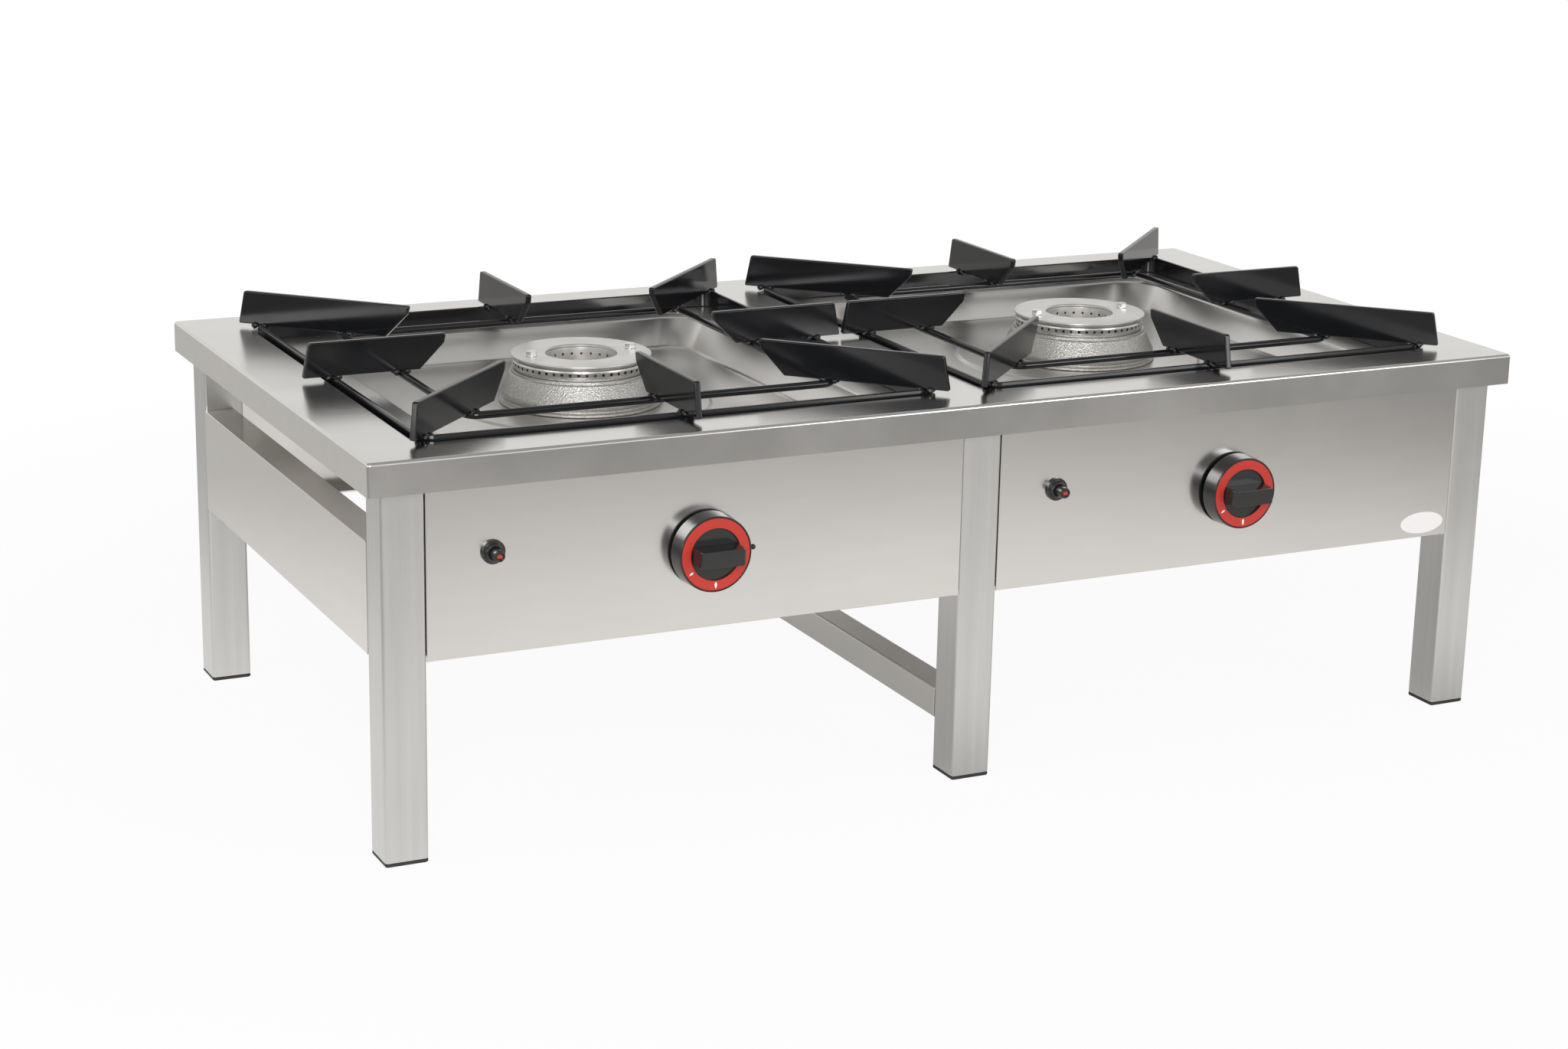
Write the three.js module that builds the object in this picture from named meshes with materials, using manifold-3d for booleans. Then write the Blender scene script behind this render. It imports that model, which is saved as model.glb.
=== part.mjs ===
// Low two-burner gas stock pot range, in millimetres.
// Origin: on the floor under the middle of the table. +X right, +Y to the back, +Z up.

import * as THREE from 'three';
import { mergeVertices } from 'three/addons/utils/BufferGeometryUtils.js';
import Module from 'manifold-3d';

const wasm = await Module();
wasm.setup();

// ---------------------------------------------------------------- driving dimensions

const FIT = 0.3; // clearance between pieces that seat on or in each other
const PAST = 1; // how far a hole or a joined piece runs past the face it meets

// Table
const TABLE_WIDTH = 1200;
const TABLE_DEPTH = 620;
const TABLE_HEIGHT = 370;
const TABLE_SHEET = 2;
const RIM_HEIGHT = 30;
const RIM_CORNER = 4;

// Wells pressed into the table, one round each burner
const BURNER_SPACING = 562; // between the two burner centres
const WELL_HALF = 256;
const WELL_CORNER = 18;
const LEDGE_DEPTH = 13;
const LEDGE_INNER_HALF = 210;
const LEDGE_INNER_CORNER = 35;
const FLOOR_DEPTH = 42;
const FLOOR_HALF = 194;
const FLOOR_CORNER = 30;
const WALL_DRAFT = 2; // how much narrower the upper wall is at the ledge
const PLATEAU_RADIUS = 125;
const PLATEAU_RISE = 2;
const PLATEAU_SLOPE = 3;
const AIR_OPENING_RADIUS = 31;
const INLET_OPENING_RADIUS = 19;

// Legs and their plug feet
const LEG_SIZE = 40;
const LEG_WALL = 2;
const LEG_CORNER = 3;
const LEG_INSET_SIDE = 15;
const LEG_INSET_FRONT = 13.5;
const FOOT_CAP = 3.2;
const FOOT_PLUG = 18;

// Cross tube between the two middle legs
const TIE_SIZE = 30;
const TIE_WALL = 1.5;
const TIE_CORNER = 2;
const TIE_BOTTOM = 51;

// Sheet panels between the legs
const PANEL_SHEET = 1.5;
const PANEL_DROP = 185; // lower edge below the table's top
const PANEL_RELIEF = 5; // notch where two flanges would meet at a lower corner
const FRONT_FLANGE = 18;
const SIDE_FLANGE = 30;
const SIDE_PANEL_DROP = 83; // upper edge of a side panel below the table's top

// Gas tap, spindle and control knob
const TAP_DROP = 111; // spindle axis below the table's top
const TAP_RADIUS = 16;
const TAP_FRONT = 7; // nose behind the panel
const TAP_LENGTH = 38;
const TAP_NOSE_RADIUS = 10;
const TAP_PORT_RADIUS = 7;
const TAP_PORT_REACH = 18.5;
const TAP_PORT_SETBACK = 26;
const SPINDLE_RADIUS = 4;
const SPINDLE_FLAT = 2.8;
const SPINDLE_SOCKET = 31; // depth of the spindle behind the panel
const PANEL_SPINDLE_HOLE = 7;
const KNOB_STANDOFF = 3.5;
const KNOB_TRAVEL = 3;
const KNOB_DEPTH = 22;
const KNOB_BASE_RADIUS = 36;
const KNOB_FACE_RADIUS = 35;
const KNOB_WALL = 2.6;
const KNOB_EDGE = 0.8;
const KNOB_HUB_RADIUS = 9;
const DIAL_OUTER = 33.2;
const DIAL_INNER = 24.2;
const DIAL_THICKNESS = 1;
const KNOB_DISH = 3;
const GRIP_REACH = 39;
const GRIP_HALF_LENGTH = 23.4;
const GRIP_TIP_HALF_LENGTH = 21;
const GRIP_HALF_WIDTH = 8.6;
const GRIP_TIP_HALF_WIDTH = 7.9;
const GRIP_CORNER = 1.2;
const SCREW_RADIUS = 1.5;
const SCREW_DEPTH = 11; // behind the knob's face
const SCREW_BALL = 2.6;
const SCREW_BALL_REACH = 41;

// Push igniter
const IGNITER_INSET = 61; // from the left edge of its panel
const IGNITER_DROP = 92;
const IGNITER_BEZEL_RADIUS = 11;
const IGNITER_BARREL_RADIUS = 8;
const IGNITER_BEZEL = 3.2;
const IGNITER_EDGE = 0.8;
const IGNITER_NUT_RADIUS = 12;
const IGNITER_NUT = 5;
const IGNITER_LENGTH = 36;
const IGNITER_NECK = 6;
const BUTTON_RADIUS = 5.2;
const BUTTON_REACH = 18;
const BUTTON_INSIDE = 14;
const BUTTON_TRAVEL = 6;

// Burner: cast base, ring with the flame ports, cover plate, two bolts
const BURNER_FOOT_RADIUS = 85;
const BURNER_BASE_RADIUS = 80.5;
const BURNER_NECK_RADIUS = 68;
const BURNER_FOOT_HEIGHT = 3;
const BURNER_SHOULDER = 10; // where the base starts to narrow
const BURNER_BORE = 36;
const BURNER_BASE_HEIGHT = 32;
const BURNER_FLOOR = 4.5;
const BURNER_INNER_WALL = 4;
const BURNER_OUTER_WALL = 8;
const RING_INNER = 58;
const RING_OUTER = 66;
const RING_HEIGHT = 7.4;
const RING_SEAT = 63.2; // lips that carry the ring and the cover
const RING_SEAT_HEIGHT = 2;
const PORT_COUNT = 32;
const PORT_RADIUS = 1.5;
const COVER_RADIUS = 68;
const COVER_BORE = 35;
const COVER_THICKNESS = 3;
const BOLT_OFFSET = 51.5;
const BOLT_RADIUS = 3;
const BOLT_HEAD_RADIUS = 5.6;
const BOLT_HEAD_HEIGHT = 4.5;
const BOLT_LENGTH = 22;
const BOSS_RADIUS = 5.5;

// Mixing tube, injector and their gas supply
const INLET_OFFSET = 57;
const SPIGOT_RADIUS = 18;
const SPIGOT_BORE = 14;
const SPIGOT_DROP = 12;
const MIXER_AXIS_DROP = 34; // below the burner foot
const MIXER_BORE = 15;
const MIXER_WALL = 3;
const MIXER_BEND = 22;
const MIXER_FRONT = 176; // where the air drum begins, in front of the burner centre
const DRUM_RADIUS = 24;
const DRUM_LENGTH = 30;
const DRUM_WALL = 2.5;
const AIR_WINDOW = 16;
const INJECTOR_RADIUS = 6;
const INJECTOR_HEX = 9;
const INJECTOR_HEX_LENGTH = 12;
const INJECTOR_REACH = 14;
const INJECTOR_CONE = 5; // length of the tapered end
const INJECTOR_TIP_RADIUS = 2;
const SUPPLY_RADIUS = 4;
const SUPPLY_BEND = 14;

// Pilot, spark electrode and thermocouple in the middle of the burner
const PILOT_STRIP_LENGTH = 84;
const PILOT_STRIP_WIDTH = 16;
const PILOT_STRIP_SHEET = 2;
const PILOT_SPREAD = 10;
const PILOT_RADIUS = 4;
const PILOT_RISE = 26;
const PILOT_HOOD_RADIUS = 5.5;
const PILOT_HOOD_DROP = 6; // foot of the hood below the stem's top
const PILOT_HOOD_HEIGHT = 8;
const ELECTRODE_RADIUS = 2.8;
const ELECTRODE_RISE = 18;
const ELECTRODE_TIP = 27;
const ELECTRODE_WIRE = 1;
const THERMOCOUPLE_RADIUS = 2.4;
const THERMOCOUPLE_RISE = 27;
const COLLAR_RADIUS = 4.6;
const COLLAR_HEIGHT = 2.5;
const LEAD_RADIUS = 2;
const LEAD_BEND = 8;
const LEAD_DROP = 8;
const LEAD_GAP = 10; // between a lead and the air drum
const LEAD_TURN = 30; // last bend before the lead's end
const ELECTRODE_TURN = 110; // where the spark lead turns forward, behind the igniter

// Gas rail behind the taps and its inlet through the back panel
const RAIL_RADIUS = 13;
const RAIL_WALL = 2.5;
const RAIL_OVERRUN = 60; // closed end beyond the left tap
const RAIL_INSET = 65; // run to the inlet inside the right side panel
const RAIL_BEND = 30;
const RAIL_SETBACK = 15; // rail axis behind the rear of the taps
const INLET_PROUD = 3; // end of the rail behind the back panel
const INLET_HEX = 16;
const INLET_HEX_LENGTH = 9;
const INLET_THREAD = 10.5;
const INLET_BORE = 7.5;

// Pan support: flat-bar frame, inner rod frame and eight fins
const SUPPORT_GAP = 2; // play of the frame inside its well
const SUPPORT_BAR = 4;
const ROD_HALF = 183;
const ROD_RADIUS = 3.6;
const ROD_CORNER = 12;
const FIN_THICKNESS = 6;
const FIN_BOTTOM = 3.8; // above the table
const FIN_HEIGHT = 33.2;
const FIN_WELD = 0.6; // how far frames and fins run into each other
const FIN_LEAN = 6.5; // outer end leans in towards the top
const FIN_INNER_STRAIGHT = 9;
const FIN_INNER_LEAN = 2;
const SIDE_FIN = { outer: 279.5, innerTop: 138.5, innerBottom: 165 };
const CORNER_FIN = { outer: 372, innerTop: 183, innerBottom: 209 };

// ---------------------------------------------------------------- places worked out from them

const SHEET_TOP = TABLE_HEIGHT;
const SHEET_UNDER = TABLE_HEIGHT - TABLE_SHEET;
const LEDGE_Z = TABLE_HEIGHT - LEDGE_DEPTH;
const FLOOR_Z = TABLE_HEIGHT - FLOOR_DEPTH;
const PLATEAU_Z = FLOOR_Z + PLATEAU_RISE;
const PLATEAU_UNDER = PLATEAU_Z - TABLE_SHEET;
const PANEL_BOTTOM = TABLE_HEIGHT - PANEL_DROP;
const SIDE_PANEL_TOP = TABLE_HEIGHT - SIDE_PANEL_DROP;
const TAP_HEIGHT = TABLE_HEIGHT - TAP_DROP;
const IGNITER_HEIGHT = TABLE_HEIGHT - IGNITER_DROP;
const LEG_X = TABLE_WIDTH / 2 - LEG_INSET_SIDE - LEG_SIZE / 2;
const LEG_Y = TABLE_DEPTH / 2 - LEG_INSET_FRONT - LEG_SIZE / 2;
const LEG_TOP = SHEET_UNDER - FIT;
const FACE_X = LEG_X + LEG_SIZE / 2;
const FACE_Y = LEG_Y + LEG_SIZE / 2;
const PANEL_BACK = -FACE_Y + PANEL_SHEET;
const BURNER_Z = PLATEAU_Z + FIT;
const BASE_TOP = BURNER_Z + BURNER_BASE_HEIGHT;
const RING_Z = BASE_TOP + RING_SEAT_HEIGHT + FIT;
const RING_TOP = RING_Z + RING_HEIGHT;
const COVER_Z = RING_TOP + FIT + RING_SEAT_HEIGHT;
const COVER_TOP = COVER_Z + COVER_THICKNESS;
const BORE_TOP = COVER_Z - FIT; // where the inner wall and the bosses meet the cover
const SUPPORT_HALF = WELL_HALF - WALL_DRAFT - SUPPORT_GAP;
const SUPPORT_CORNER = WELL_CORNER - SUPPORT_GAP;
const MIXER_Z = BURNER_Z - MIXER_AXIS_DROP;
const DRUM_Y = -MIXER_FRONT - DRUM_LENGTH;
const TAP_Y = PANEL_BACK + FIT;
const TAP_REAR = TAP_Y + TAP_FRONT + TAP_LENGTH;
const TAP_PORT_Y = TAP_Y + TAP_PORT_SETBACK;
const RAIL_Y = TAP_REAR + RAIL_SETBACK;
const RAIL_START = -BURNER_SPACING / 2 - RAIL_OVERRUN;
const RAIL_X = FACE_X - RAIL_INSET;
const LEAD_SIDE = DRUM_RADIUS + LEAD_GAP;
const IGNITER_REAR = -FACE_Y + IGNITER_LENGTH;

// ---------------------------------------------------------------- finishes

const FINISHES = {
  stainless: { color: 0xc9c7c2, roughness: 0.32, metalness: 1 },
  tube: { color: 0xbdbcb8, roughness: 0.38, metalness: 1 },
  enamel: { color: 0x1b1c1e, roughness: 0.18, metalness: 0 },
  casting: { color: 0x9b9a95, roughness: 0.6, metalness: 0.9 },
  machined: { color: 0xd2d0ca, roughness: 0.35, metalness: 1 },
  zinc: { color: 0xb9bbbd, roughness: 0.4, metalness: 1 },
  brass: { color: 0xb08d4c, roughness: 0.35, metalness: 1 },
  steelPipe: { color: 0x8d8f91, roughness: 0.5, metalness: 1 },
  blackPlastic: { color: 0x17181a, roughness: 0.25, metalness: 0 },
  redPrint: { color: 0xc8322b, roughness: 0.45, metalness: 0 },
  ceramic: { color: 0xe6e2d8, roughness: 0.5, metalness: 0 },
  footPlastic: { color: 0x1c1c1c, roughness: 0.6, metalness: 0 },
};

// ---------------------------------------------------------------- geometry helpers

// Closed geometry with one vertex per corner and its faces pointing out.
function welded(geometry) {
  const bare = geometry.clone();
  bare.deleteAttribute('normal');
  bare.deleteAttribute('uv');
  const merged = mergeVertices(bare, 1e-4);
  const corners = merged.attributes.position;
  const kept = [];
  let volume = 0;
  const a = new THREE.Vector3();
  const b = new THREE.Vector3();
  const c = new THREE.Vector3();
  for (let i = 0; i < merged.index.count; i += 3) {
    const [p, q, r] = [0, 1, 2].map((k) => merged.index.getX(i + k));
    if (p === q || q === r || r === p) continue;
    kept.push(p, q, r);
    a.fromBufferAttribute(corners, p);
    b.fromBufferAttribute(corners, q);
    c.fromBufferAttribute(corners, r);
    volume += a.dot(b.cross(c));
  }
  if (volume < 0) kept.reverse();
  return { positions: corners.array, triangles: kept };
}

function solid(geometry) {
  const { positions, triangles } = welded(geometry);
  return new wasm.Manifold(new wasm.Mesh({
    numProp: 3,
    vertProperties: new Float32Array(positions),
    triVerts: new Uint32Array(triangles),
  }));
}

function join(first, ...others) {
  return others.reduce((whole, piece) => whole.add(piece), first);
}

function cut(first, ...others) {
  return others.reduce((whole, piece) => whole.subtract(piece), first);
}

function meshOf(name, body, finish) {
  const result = body.getMesh();
  const geometry = new THREE.BufferGeometry();
  geometry.setAttribute('position', new THREE.BufferAttribute(new Float32Array(result.vertProperties), 3));
  geometry.setIndex(new THREE.BufferAttribute(new Uint32Array(result.triVerts), 1));
  const material = new THREE.MeshStandardMaterial({ ...FINISHES[finish], flatShading: true });
  const mesh = new THREE.Mesh(geometry, material);
  mesh.name = name;
  return mesh;
}

function box([x0, x1], [y0, y1], [z0, z1]) {
  const geometry = new THREE.BoxGeometry(x1 - x0, y1 - y0, z1 - z0);
  geometry.translate((x0 + x1) / 2, (y0 + y1) / 2, (z0 + z1) / 2);
  return solid(geometry);
}

// Rectangle with rounded corners, as an outline in X and Y.
function roundedOutline(Outline, halfX, halfY, radius) {
  const x = halfX - radius;
  const y = halfY - radius;
  const outline = new Outline();
  outline.absarc(x, y, radius, 0, Math.PI / 2);
  outline.absarc(-x, y, radius, Math.PI / 2, Math.PI);
  outline.absarc(-x, -y, radius, Math.PI, 1.5 * Math.PI);
  outline.absarc(x, -y, radius, 1.5 * Math.PI, 2 * Math.PI);
  return outline;
}

function extruded(shape, height, curveSegments = 2) {
  return new THREE.ExtrudeGeometry(shape, { depth: height, bevelEnabled: false, curveSegments });
}

// Square tube of the given wall, standing on z = 0.
function squareTube(size, corner, wall, length) {
  const shape = roundedOutline(THREE.Shape, size / 2, size / 2, corner);
  const bore = size / 2 - wall;
  shape.holes.push(roundedOutline(THREE.Path, bore, bore, Math.max(corner - wall, 0.5)));
  return extruded(shape, length, 1);
}

// Solid of revolution about Z from [radius, z] points; it closes on itself or on the axis.
function turned(profile, segments) {
  const points = profile.map(([radius, z]) => new THREE.Vector2(radius, z));
  const closesOnAxis = profile[0][0] === 0 && profile[profile.length - 1][0] === 0;
  if (!closesOnAxis) points.push(points[0].clone());
  return new THREE.LatheGeometry(points, segments).rotateX(Math.PI / 2);
}

// The same with its axis along -Y: the profile's height runs out of the front panel.
function turnedForward(profile, segments) {
  return turned(profile, segments).rotateX(Math.PI / 2).translate(0, -FACE_Y, 0);
}

function cylinder(radius, z0, z1, segments) {
  return turned([[0, z0], [radius, z0], [radius, z1], [0, z1]], segments);
}

function cylinderAlongY(radius, y0, y1, z, segments) {
  return cylinder(radius, y0, y1, segments).rotateX(-Math.PI / 2).translate(0, 0, z);
}

// Skin through rings of equal count, closed at both ends. Each ring is convex.
function lofted(rings) {
  const count = rings[0].length;
  const positions = [];
  const index = [];
  rings.forEach((ring) => ring.forEach((point) => positions.push(...point)));
  for (let level = 0; level + 1 < rings.length; level += 1) {
    for (let i = 0; i < count; i += 1) {
      const a = level * count + i;
      const b = level * count + ((i + 1) % count);
      index.push(a, b, b + count, a, b + count, a + count);
    }
  }
  const last = (rings.length - 1) * count;
  for (let i = 1; i + 1 < count; i += 1) {
    index.push(0, i + 1, i);
    index.push(last, last + i, last + i + 1);
  }
  const geometry = new THREE.BufferGeometry();
  geometry.setAttribute('position', new THREE.Float32BufferAttribute(positions, 3));
  geometry.setIndex(index);
  return geometry;
}

function squareRing(half, corner, z, steps = 3) {
  const points = [];
  for (let quarter = 0; quarter < 4; quarter += 1) {
    for (let step = 0; step <= steps; step += 1) {
      const angle = (quarter + step / steps) * Math.PI / 2;
      const turn = (quarter + 0.5) * Math.PI / 2;
      const centre = (half - corner) * Math.SQRT2;
      points.push([
        centre * Math.cos(turn) + corner * Math.cos(angle),
        centre * Math.sin(turn) + corner * Math.sin(angle),
        z,
      ]);
    }
  }
  return points;
}

// Round rod along straight runs joined by bends of one radius.
function rodThrough(corners, bend, radius, sides, bendSteps = 4) {
  const points = corners.map((corner) => new THREE.Vector3(...corner));
  const path = new THREE.CurvePath();
  let from = points[0];
  for (let i = 1; i + 1 < points.length; i += 1) {
    const before = points[i - 1].clone().sub(points[i]).normalize();
    const after = points[i + 1].clone().sub(points[i]).normalize();
    const enter = points[i].clone().addScaledVector(before, bend);
    const leave = points[i].clone().addScaledVector(after, bend);
    path.add(new THREE.LineCurve3(from, enter));
    path.add(new THREE.QuadraticBezierCurve3(enter, points[i], leave));
    from = leave;
  }
  path.add(new THREE.LineCurve3(from, points[points.length - 1]));
  return sweptRod(stationsOf(path, bendSteps), radius, sides);
}

function stationsOf(path, bendSteps) {
  const stations = [path.curves[0].getPoint(0)];
  for (const curve of path.curves) {
    const steps = curve.isLineCurve3 ? 1 : bendSteps;
    for (let step = 1; step <= steps; step += 1) stations.push(curve.getPoint(step / steps));
  }
  return stations;
}

// Circular section carried along the stations without twist.
function sweptRod(stations, radius, sides) {
  const rings = [];
  let side = null;
  stations.forEach((station, i) => {
    const ahead = stations[Math.min(i + 1, stations.length - 1)];
    const behind = stations[Math.max(i - 1, 0)];
    const along = ahead.clone().sub(behind).normalize();
    const seed = Math.abs(along.z) < 0.9 ? new THREE.Vector3(0, 0, 1) : new THREE.Vector3(1, 0, 0);
    side = (side ?? seed).clone();
    side.addScaledVector(along, -side.dot(along)).normalize();
    const third = along.clone().cross(side);
    const ring = [];
    for (let k = 0; k < sides; k += 1) {
      const angle = 2 * Math.PI * k / sides;
      const point = station.clone();
      point.addScaledVector(side, radius * Math.cos(angle));
      point.addScaledVector(third, radius * Math.sin(angle));
      ring.push(point.toArray());
    }
    rings.push(ring);
  });
  return lofted(rings);
}

// ---------------------------------------------------------------- table

// One well as nested rings; grown by the sheet it gives the outside.
function wellBody(grow, topZ) {
  return solid(lofted([
    squareRing(FLOOR_HALF + grow, FLOOR_CORNER + grow, FLOOR_Z - grow),
    squareRing(LEDGE_INNER_HALF + grow, LEDGE_INNER_CORNER + grow, LEDGE_Z - grow),
    squareRing(WELL_HALF - WALL_DRAFT + grow, WELL_CORNER + grow, LEDGE_Z - grow),
    squareRing(WELL_HALF + grow, WELL_CORNER + grow, SHEET_TOP - grow),
    squareRing(WELL_HALF + grow, WELL_CORNER + grow, topZ),
  ]));
}

// Round plateau raised in the well floor, between two levels.
function plateauBody(baseZ, topZ) {
  return solid(turned([
    [0, baseZ], [PLATEAU_RADIUS + PLATEAU_SLOPE, baseZ], [PLATEAU_RADIUS, topZ], [0, topZ],
  ], 24));
}

function tabletop() {
  const outline = roundedOutline(THREE.Shape, TABLE_WIDTH / 2, TABLE_DEPTH / 2, RIM_CORNER);
  const innerX = TABLE_WIDTH / 2 - TABLE_SHEET;
  const innerY = TABLE_DEPTH / 2 - TABLE_SHEET;
  const underside = roundedOutline(THREE.Shape, innerX, innerY, RIM_CORNER - TABLE_SHEET);
  const rimZ = TABLE_HEIGHT - RIM_HEIGHT;
  const block = solid(extruded(outline, RIM_HEIGHT).translate(0, 0, rimZ));
  const hollow = solid(extruded(underside, RIM_HEIGHT - TABLE_SHEET + PAST)
    .translate(0, 0, rimZ - PAST));
  let table = block.subtract(hollow);
  for (const x of [-BURNER_SPACING / 2, BURNER_SPACING / 2]) {
    const place = [x, 0, 0];
    const outside = wellBody(TABLE_SHEET, SHEET_UNDER + TABLE_SHEET / 2);
    const inside = wellBody(0, SHEET_TOP + PAST);
    const pressedOut = plateauBody(FLOOR_Z - TABLE_SHEET - PAST, PLATEAU_UNDER);
    const pressedUp = plateauBody(FLOOR_Z - TABLE_SHEET / 2, PLATEAU_Z);
    const through = [PLATEAU_UNDER - PAST, PLATEAU_Z + PAST];
    const air = solid(cylinder(AIR_OPENING_RADIUS, ...through, 20));
    const inlet = solid(cylinder(INLET_OPENING_RADIUS, ...through, 16).translate(0, -INLET_OFFSET, 0));
    table = table.add(outside.translate(place)).subtract(inside.translate(place));
    table = table.add(pressedUp.translate(place)).subtract(pressedOut.translate(place));
    table = table.subtract(air.translate(place)).subtract(inlet.translate(place));
  }
  return meshOf('tabletop', table, 'stainless');
}

// ---------------------------------------------------------------- legs, feet, cross tube

function leg(name, x, y) {
  const body = solid(squareTube(LEG_SIZE, LEG_CORNER, LEG_WALL, LEG_TOP - FOOT_CAP - FIT));
  const mesh = meshOf(name, body, 'tube');
  mesh.position.set(x, y, FOOT_CAP + FIT);
  return mesh;
}

function foot(name, x, y) {
  const plugHalf = LEG_SIZE / 2 - LEG_WALL - FIT;
  const cap = roundedOutline(THREE.Shape, LEG_SIZE / 2, LEG_SIZE / 2, LEG_CORNER);
  const plug = roundedOutline(THREE.Shape, plugHalf, plugHalf, LEG_CORNER - LEG_WALL);
  const body = solid(extruded(cap, FOOT_CAP, 1))
    .add(solid(extruded(plug, FOOT_PLUG, 1).translate(0, 0, FOOT_CAP / 2)));
  const mesh = meshOf(name, body, 'footPlastic');
  mesh.position.set(x, y, 0);
  return mesh;
}

function crossTube() {
  const length = 2 * (LEG_Y - LEG_SIZE / 2 - FIT);
  const geometry = squareTube(TIE_SIZE, TIE_CORNER, TIE_WALL, length).rotateX(Math.PI / 2);
  const mesh = meshOf('cross_tube', solid(geometry), 'tube');
  mesh.position.set((TIE_SIZE - LEG_SIZE) / 2, length / 2, TIE_BOTTOM + TIE_SIZE / 2);
  return mesh;
}

// ---------------------------------------------------------------- panels

// Folded tray: face on y = 0, flanges running to +y and notched where they meet at the foot.
function panel(name, width, top, flange, holes = []) {
  const half = width / 2;
  const block = (inset, y0, y1) => box(
    [inset - half, half - inset],
    [y0, y1],
    [PANEL_BOTTOM + inset, top - inset],
  );
  let body = block(0, 0, flange).subtract(block(PANEL_SHEET, PANEL_SHEET, flange + PAST));
  for (const side of [-1, 1]) {
    const inner = side * (half - PANEL_RELIEF);
    const outer = side * (half + PAST);
    body = body.subtract(box(
      [Math.min(inner, outer), Math.max(inner, outer)],
      [PANEL_SHEET, flange + PAST],
      [PANEL_BOTTOM - PAST, PANEL_BOTTOM + PANEL_RELIEF],
    ));
  }
  for (const { x, z, radius } of holes) {
    const hole = cylinderAlongY(radius, -PAST, PANEL_SHEET + PAST, z, 14).translate(x, 0, 0);
    body = body.subtract(solid(hole));
  }
  return meshOf(name, body, 'stainless');
}

const BAY_X = LEG_X / 2; // middle of the bay between a corner leg and the middle leg
const FRONT_PANEL_WIDTH = LEG_X - LEG_SIZE - 2 * FIT;
const SIDE_PANEL_WIDTH = 2 * LEG_Y - LEG_SIZE - 2 * FIT;
const FRONT_PANEL_TOP = SHEET_UNDER - FIT;

function frontPanel(name, side) {
  const tapX = side * (BURNER_SPACING / 2 - BAY_X);
  const mesh = panel(name, FRONT_PANEL_WIDTH, FRONT_PANEL_TOP, FRONT_FLANGE, [
    { x: tapX, z: TAP_HEIGHT, radius: PANEL_SPINDLE_HOLE },
    { x: IGNITER_INSET - FRONT_PANEL_WIDTH / 2, z: IGNITER_HEIGHT, radius: IGNITER_BARREL_RADIUS + FIT },
  ]);
  mesh.position.set(side * BAY_X, -FACE_Y, 0);
  return mesh;
}

function backPanel(name, side) {
  const pipe = { x: BAY_X - RAIL_X, z: TAP_HEIGHT, radius: RAIL_RADIUS + 3 * FIT };
  const mesh = panel(name, FRONT_PANEL_WIDTH, FRONT_PANEL_TOP, SIDE_FLANGE, side > 0 ? [pipe] : []);
  mesh.position.set(side * BAY_X, FACE_Y, 0);
  mesh.rotation.z = Math.PI;
  return mesh;
}

function sidePanel(name, side) {
  const mesh = panel(name, SIDE_PANEL_WIDTH, SIDE_PANEL_TOP, SIDE_FLANGE);
  mesh.position.set(side * FACE_X, 0, 0);
  mesh.rotation.z = side * Math.PI / 2;
  return mesh;
}

// ---------------------------------------------------------------- burner

function burnerBase(name) {
  const chamberFloor = BURNER_Z + BURNER_FLOOR;
  const innerWall = BURNER_BORE + BURNER_INNER_WALL;
  const outerWall = BURNER_BASE_RADIUS - BURNER_OUTER_WALL;
  const shoulder = BURNER_Z + BURNER_SHOULDER;
  const casting = solid(turned([
    [BURNER_BORE, BURNER_Z],
    [BURNER_FOOT_RADIUS, BURNER_Z],
    [BURNER_FOOT_RADIUS, BURNER_Z + BURNER_FOOT_HEIGHT],
    [BURNER_BASE_RADIUS - 1, BURNER_Z + 2 * BURNER_FOOT_HEIGHT],
    [BURNER_BASE_RADIUS, shoulder],
    [BURNER_NECK_RADIUS, BASE_TOP],
    [RING_SEAT, BASE_TOP],
    [RING_SEAT, BASE_TOP + RING_SEAT_HEIGHT],
    [RING_INNER, BASE_TOP + RING_SEAT_HEIGHT],
    [RING_INNER, BASE_TOP - BURNER_INNER_WALL],
    [outerWall, shoulder],
    [outerWall, chamberFloor],
    [innerWall, chamberFloor],
    [innerWall, BORE_TOP],
    [BURNER_BORE, BORE_TOP],
  ], 24));
  const spigotFoot = BURNER_Z - SPIGOT_DROP;
  const spigot = solid(cylinder(SPIGOT_RADIUS, spigotFoot, BURNER_Z + PAST, 20)
    .translate(0, -INLET_OFFSET, 0));
  const inlet = solid(cylinder(SPIGOT_BORE, spigotFoot - PAST, chamberFloor + PAST, 20)
    .translate(0, -INLET_OFFSET, 0));
  let body = casting.add(spigot).subtract(inlet);
  for (const x of [-BOLT_OFFSET, BOLT_OFFSET]) {
    const boss = cylinder(BOSS_RADIUS, chamberFloor - PAST, BORE_TOP, 8).translate(x, 0, 0);
    const threadFoot = COVER_TOP - BOLT_LENGTH - 2;
    const thread = cylinder(BOLT_RADIUS + FIT, threadFoot, BORE_TOP + PAST, 6).translate(x, 0, 0);
    body = body.add(solid(boss)).subtract(solid(thread));
  }
  return meshOf(name, body, 'casting');
}

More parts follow.
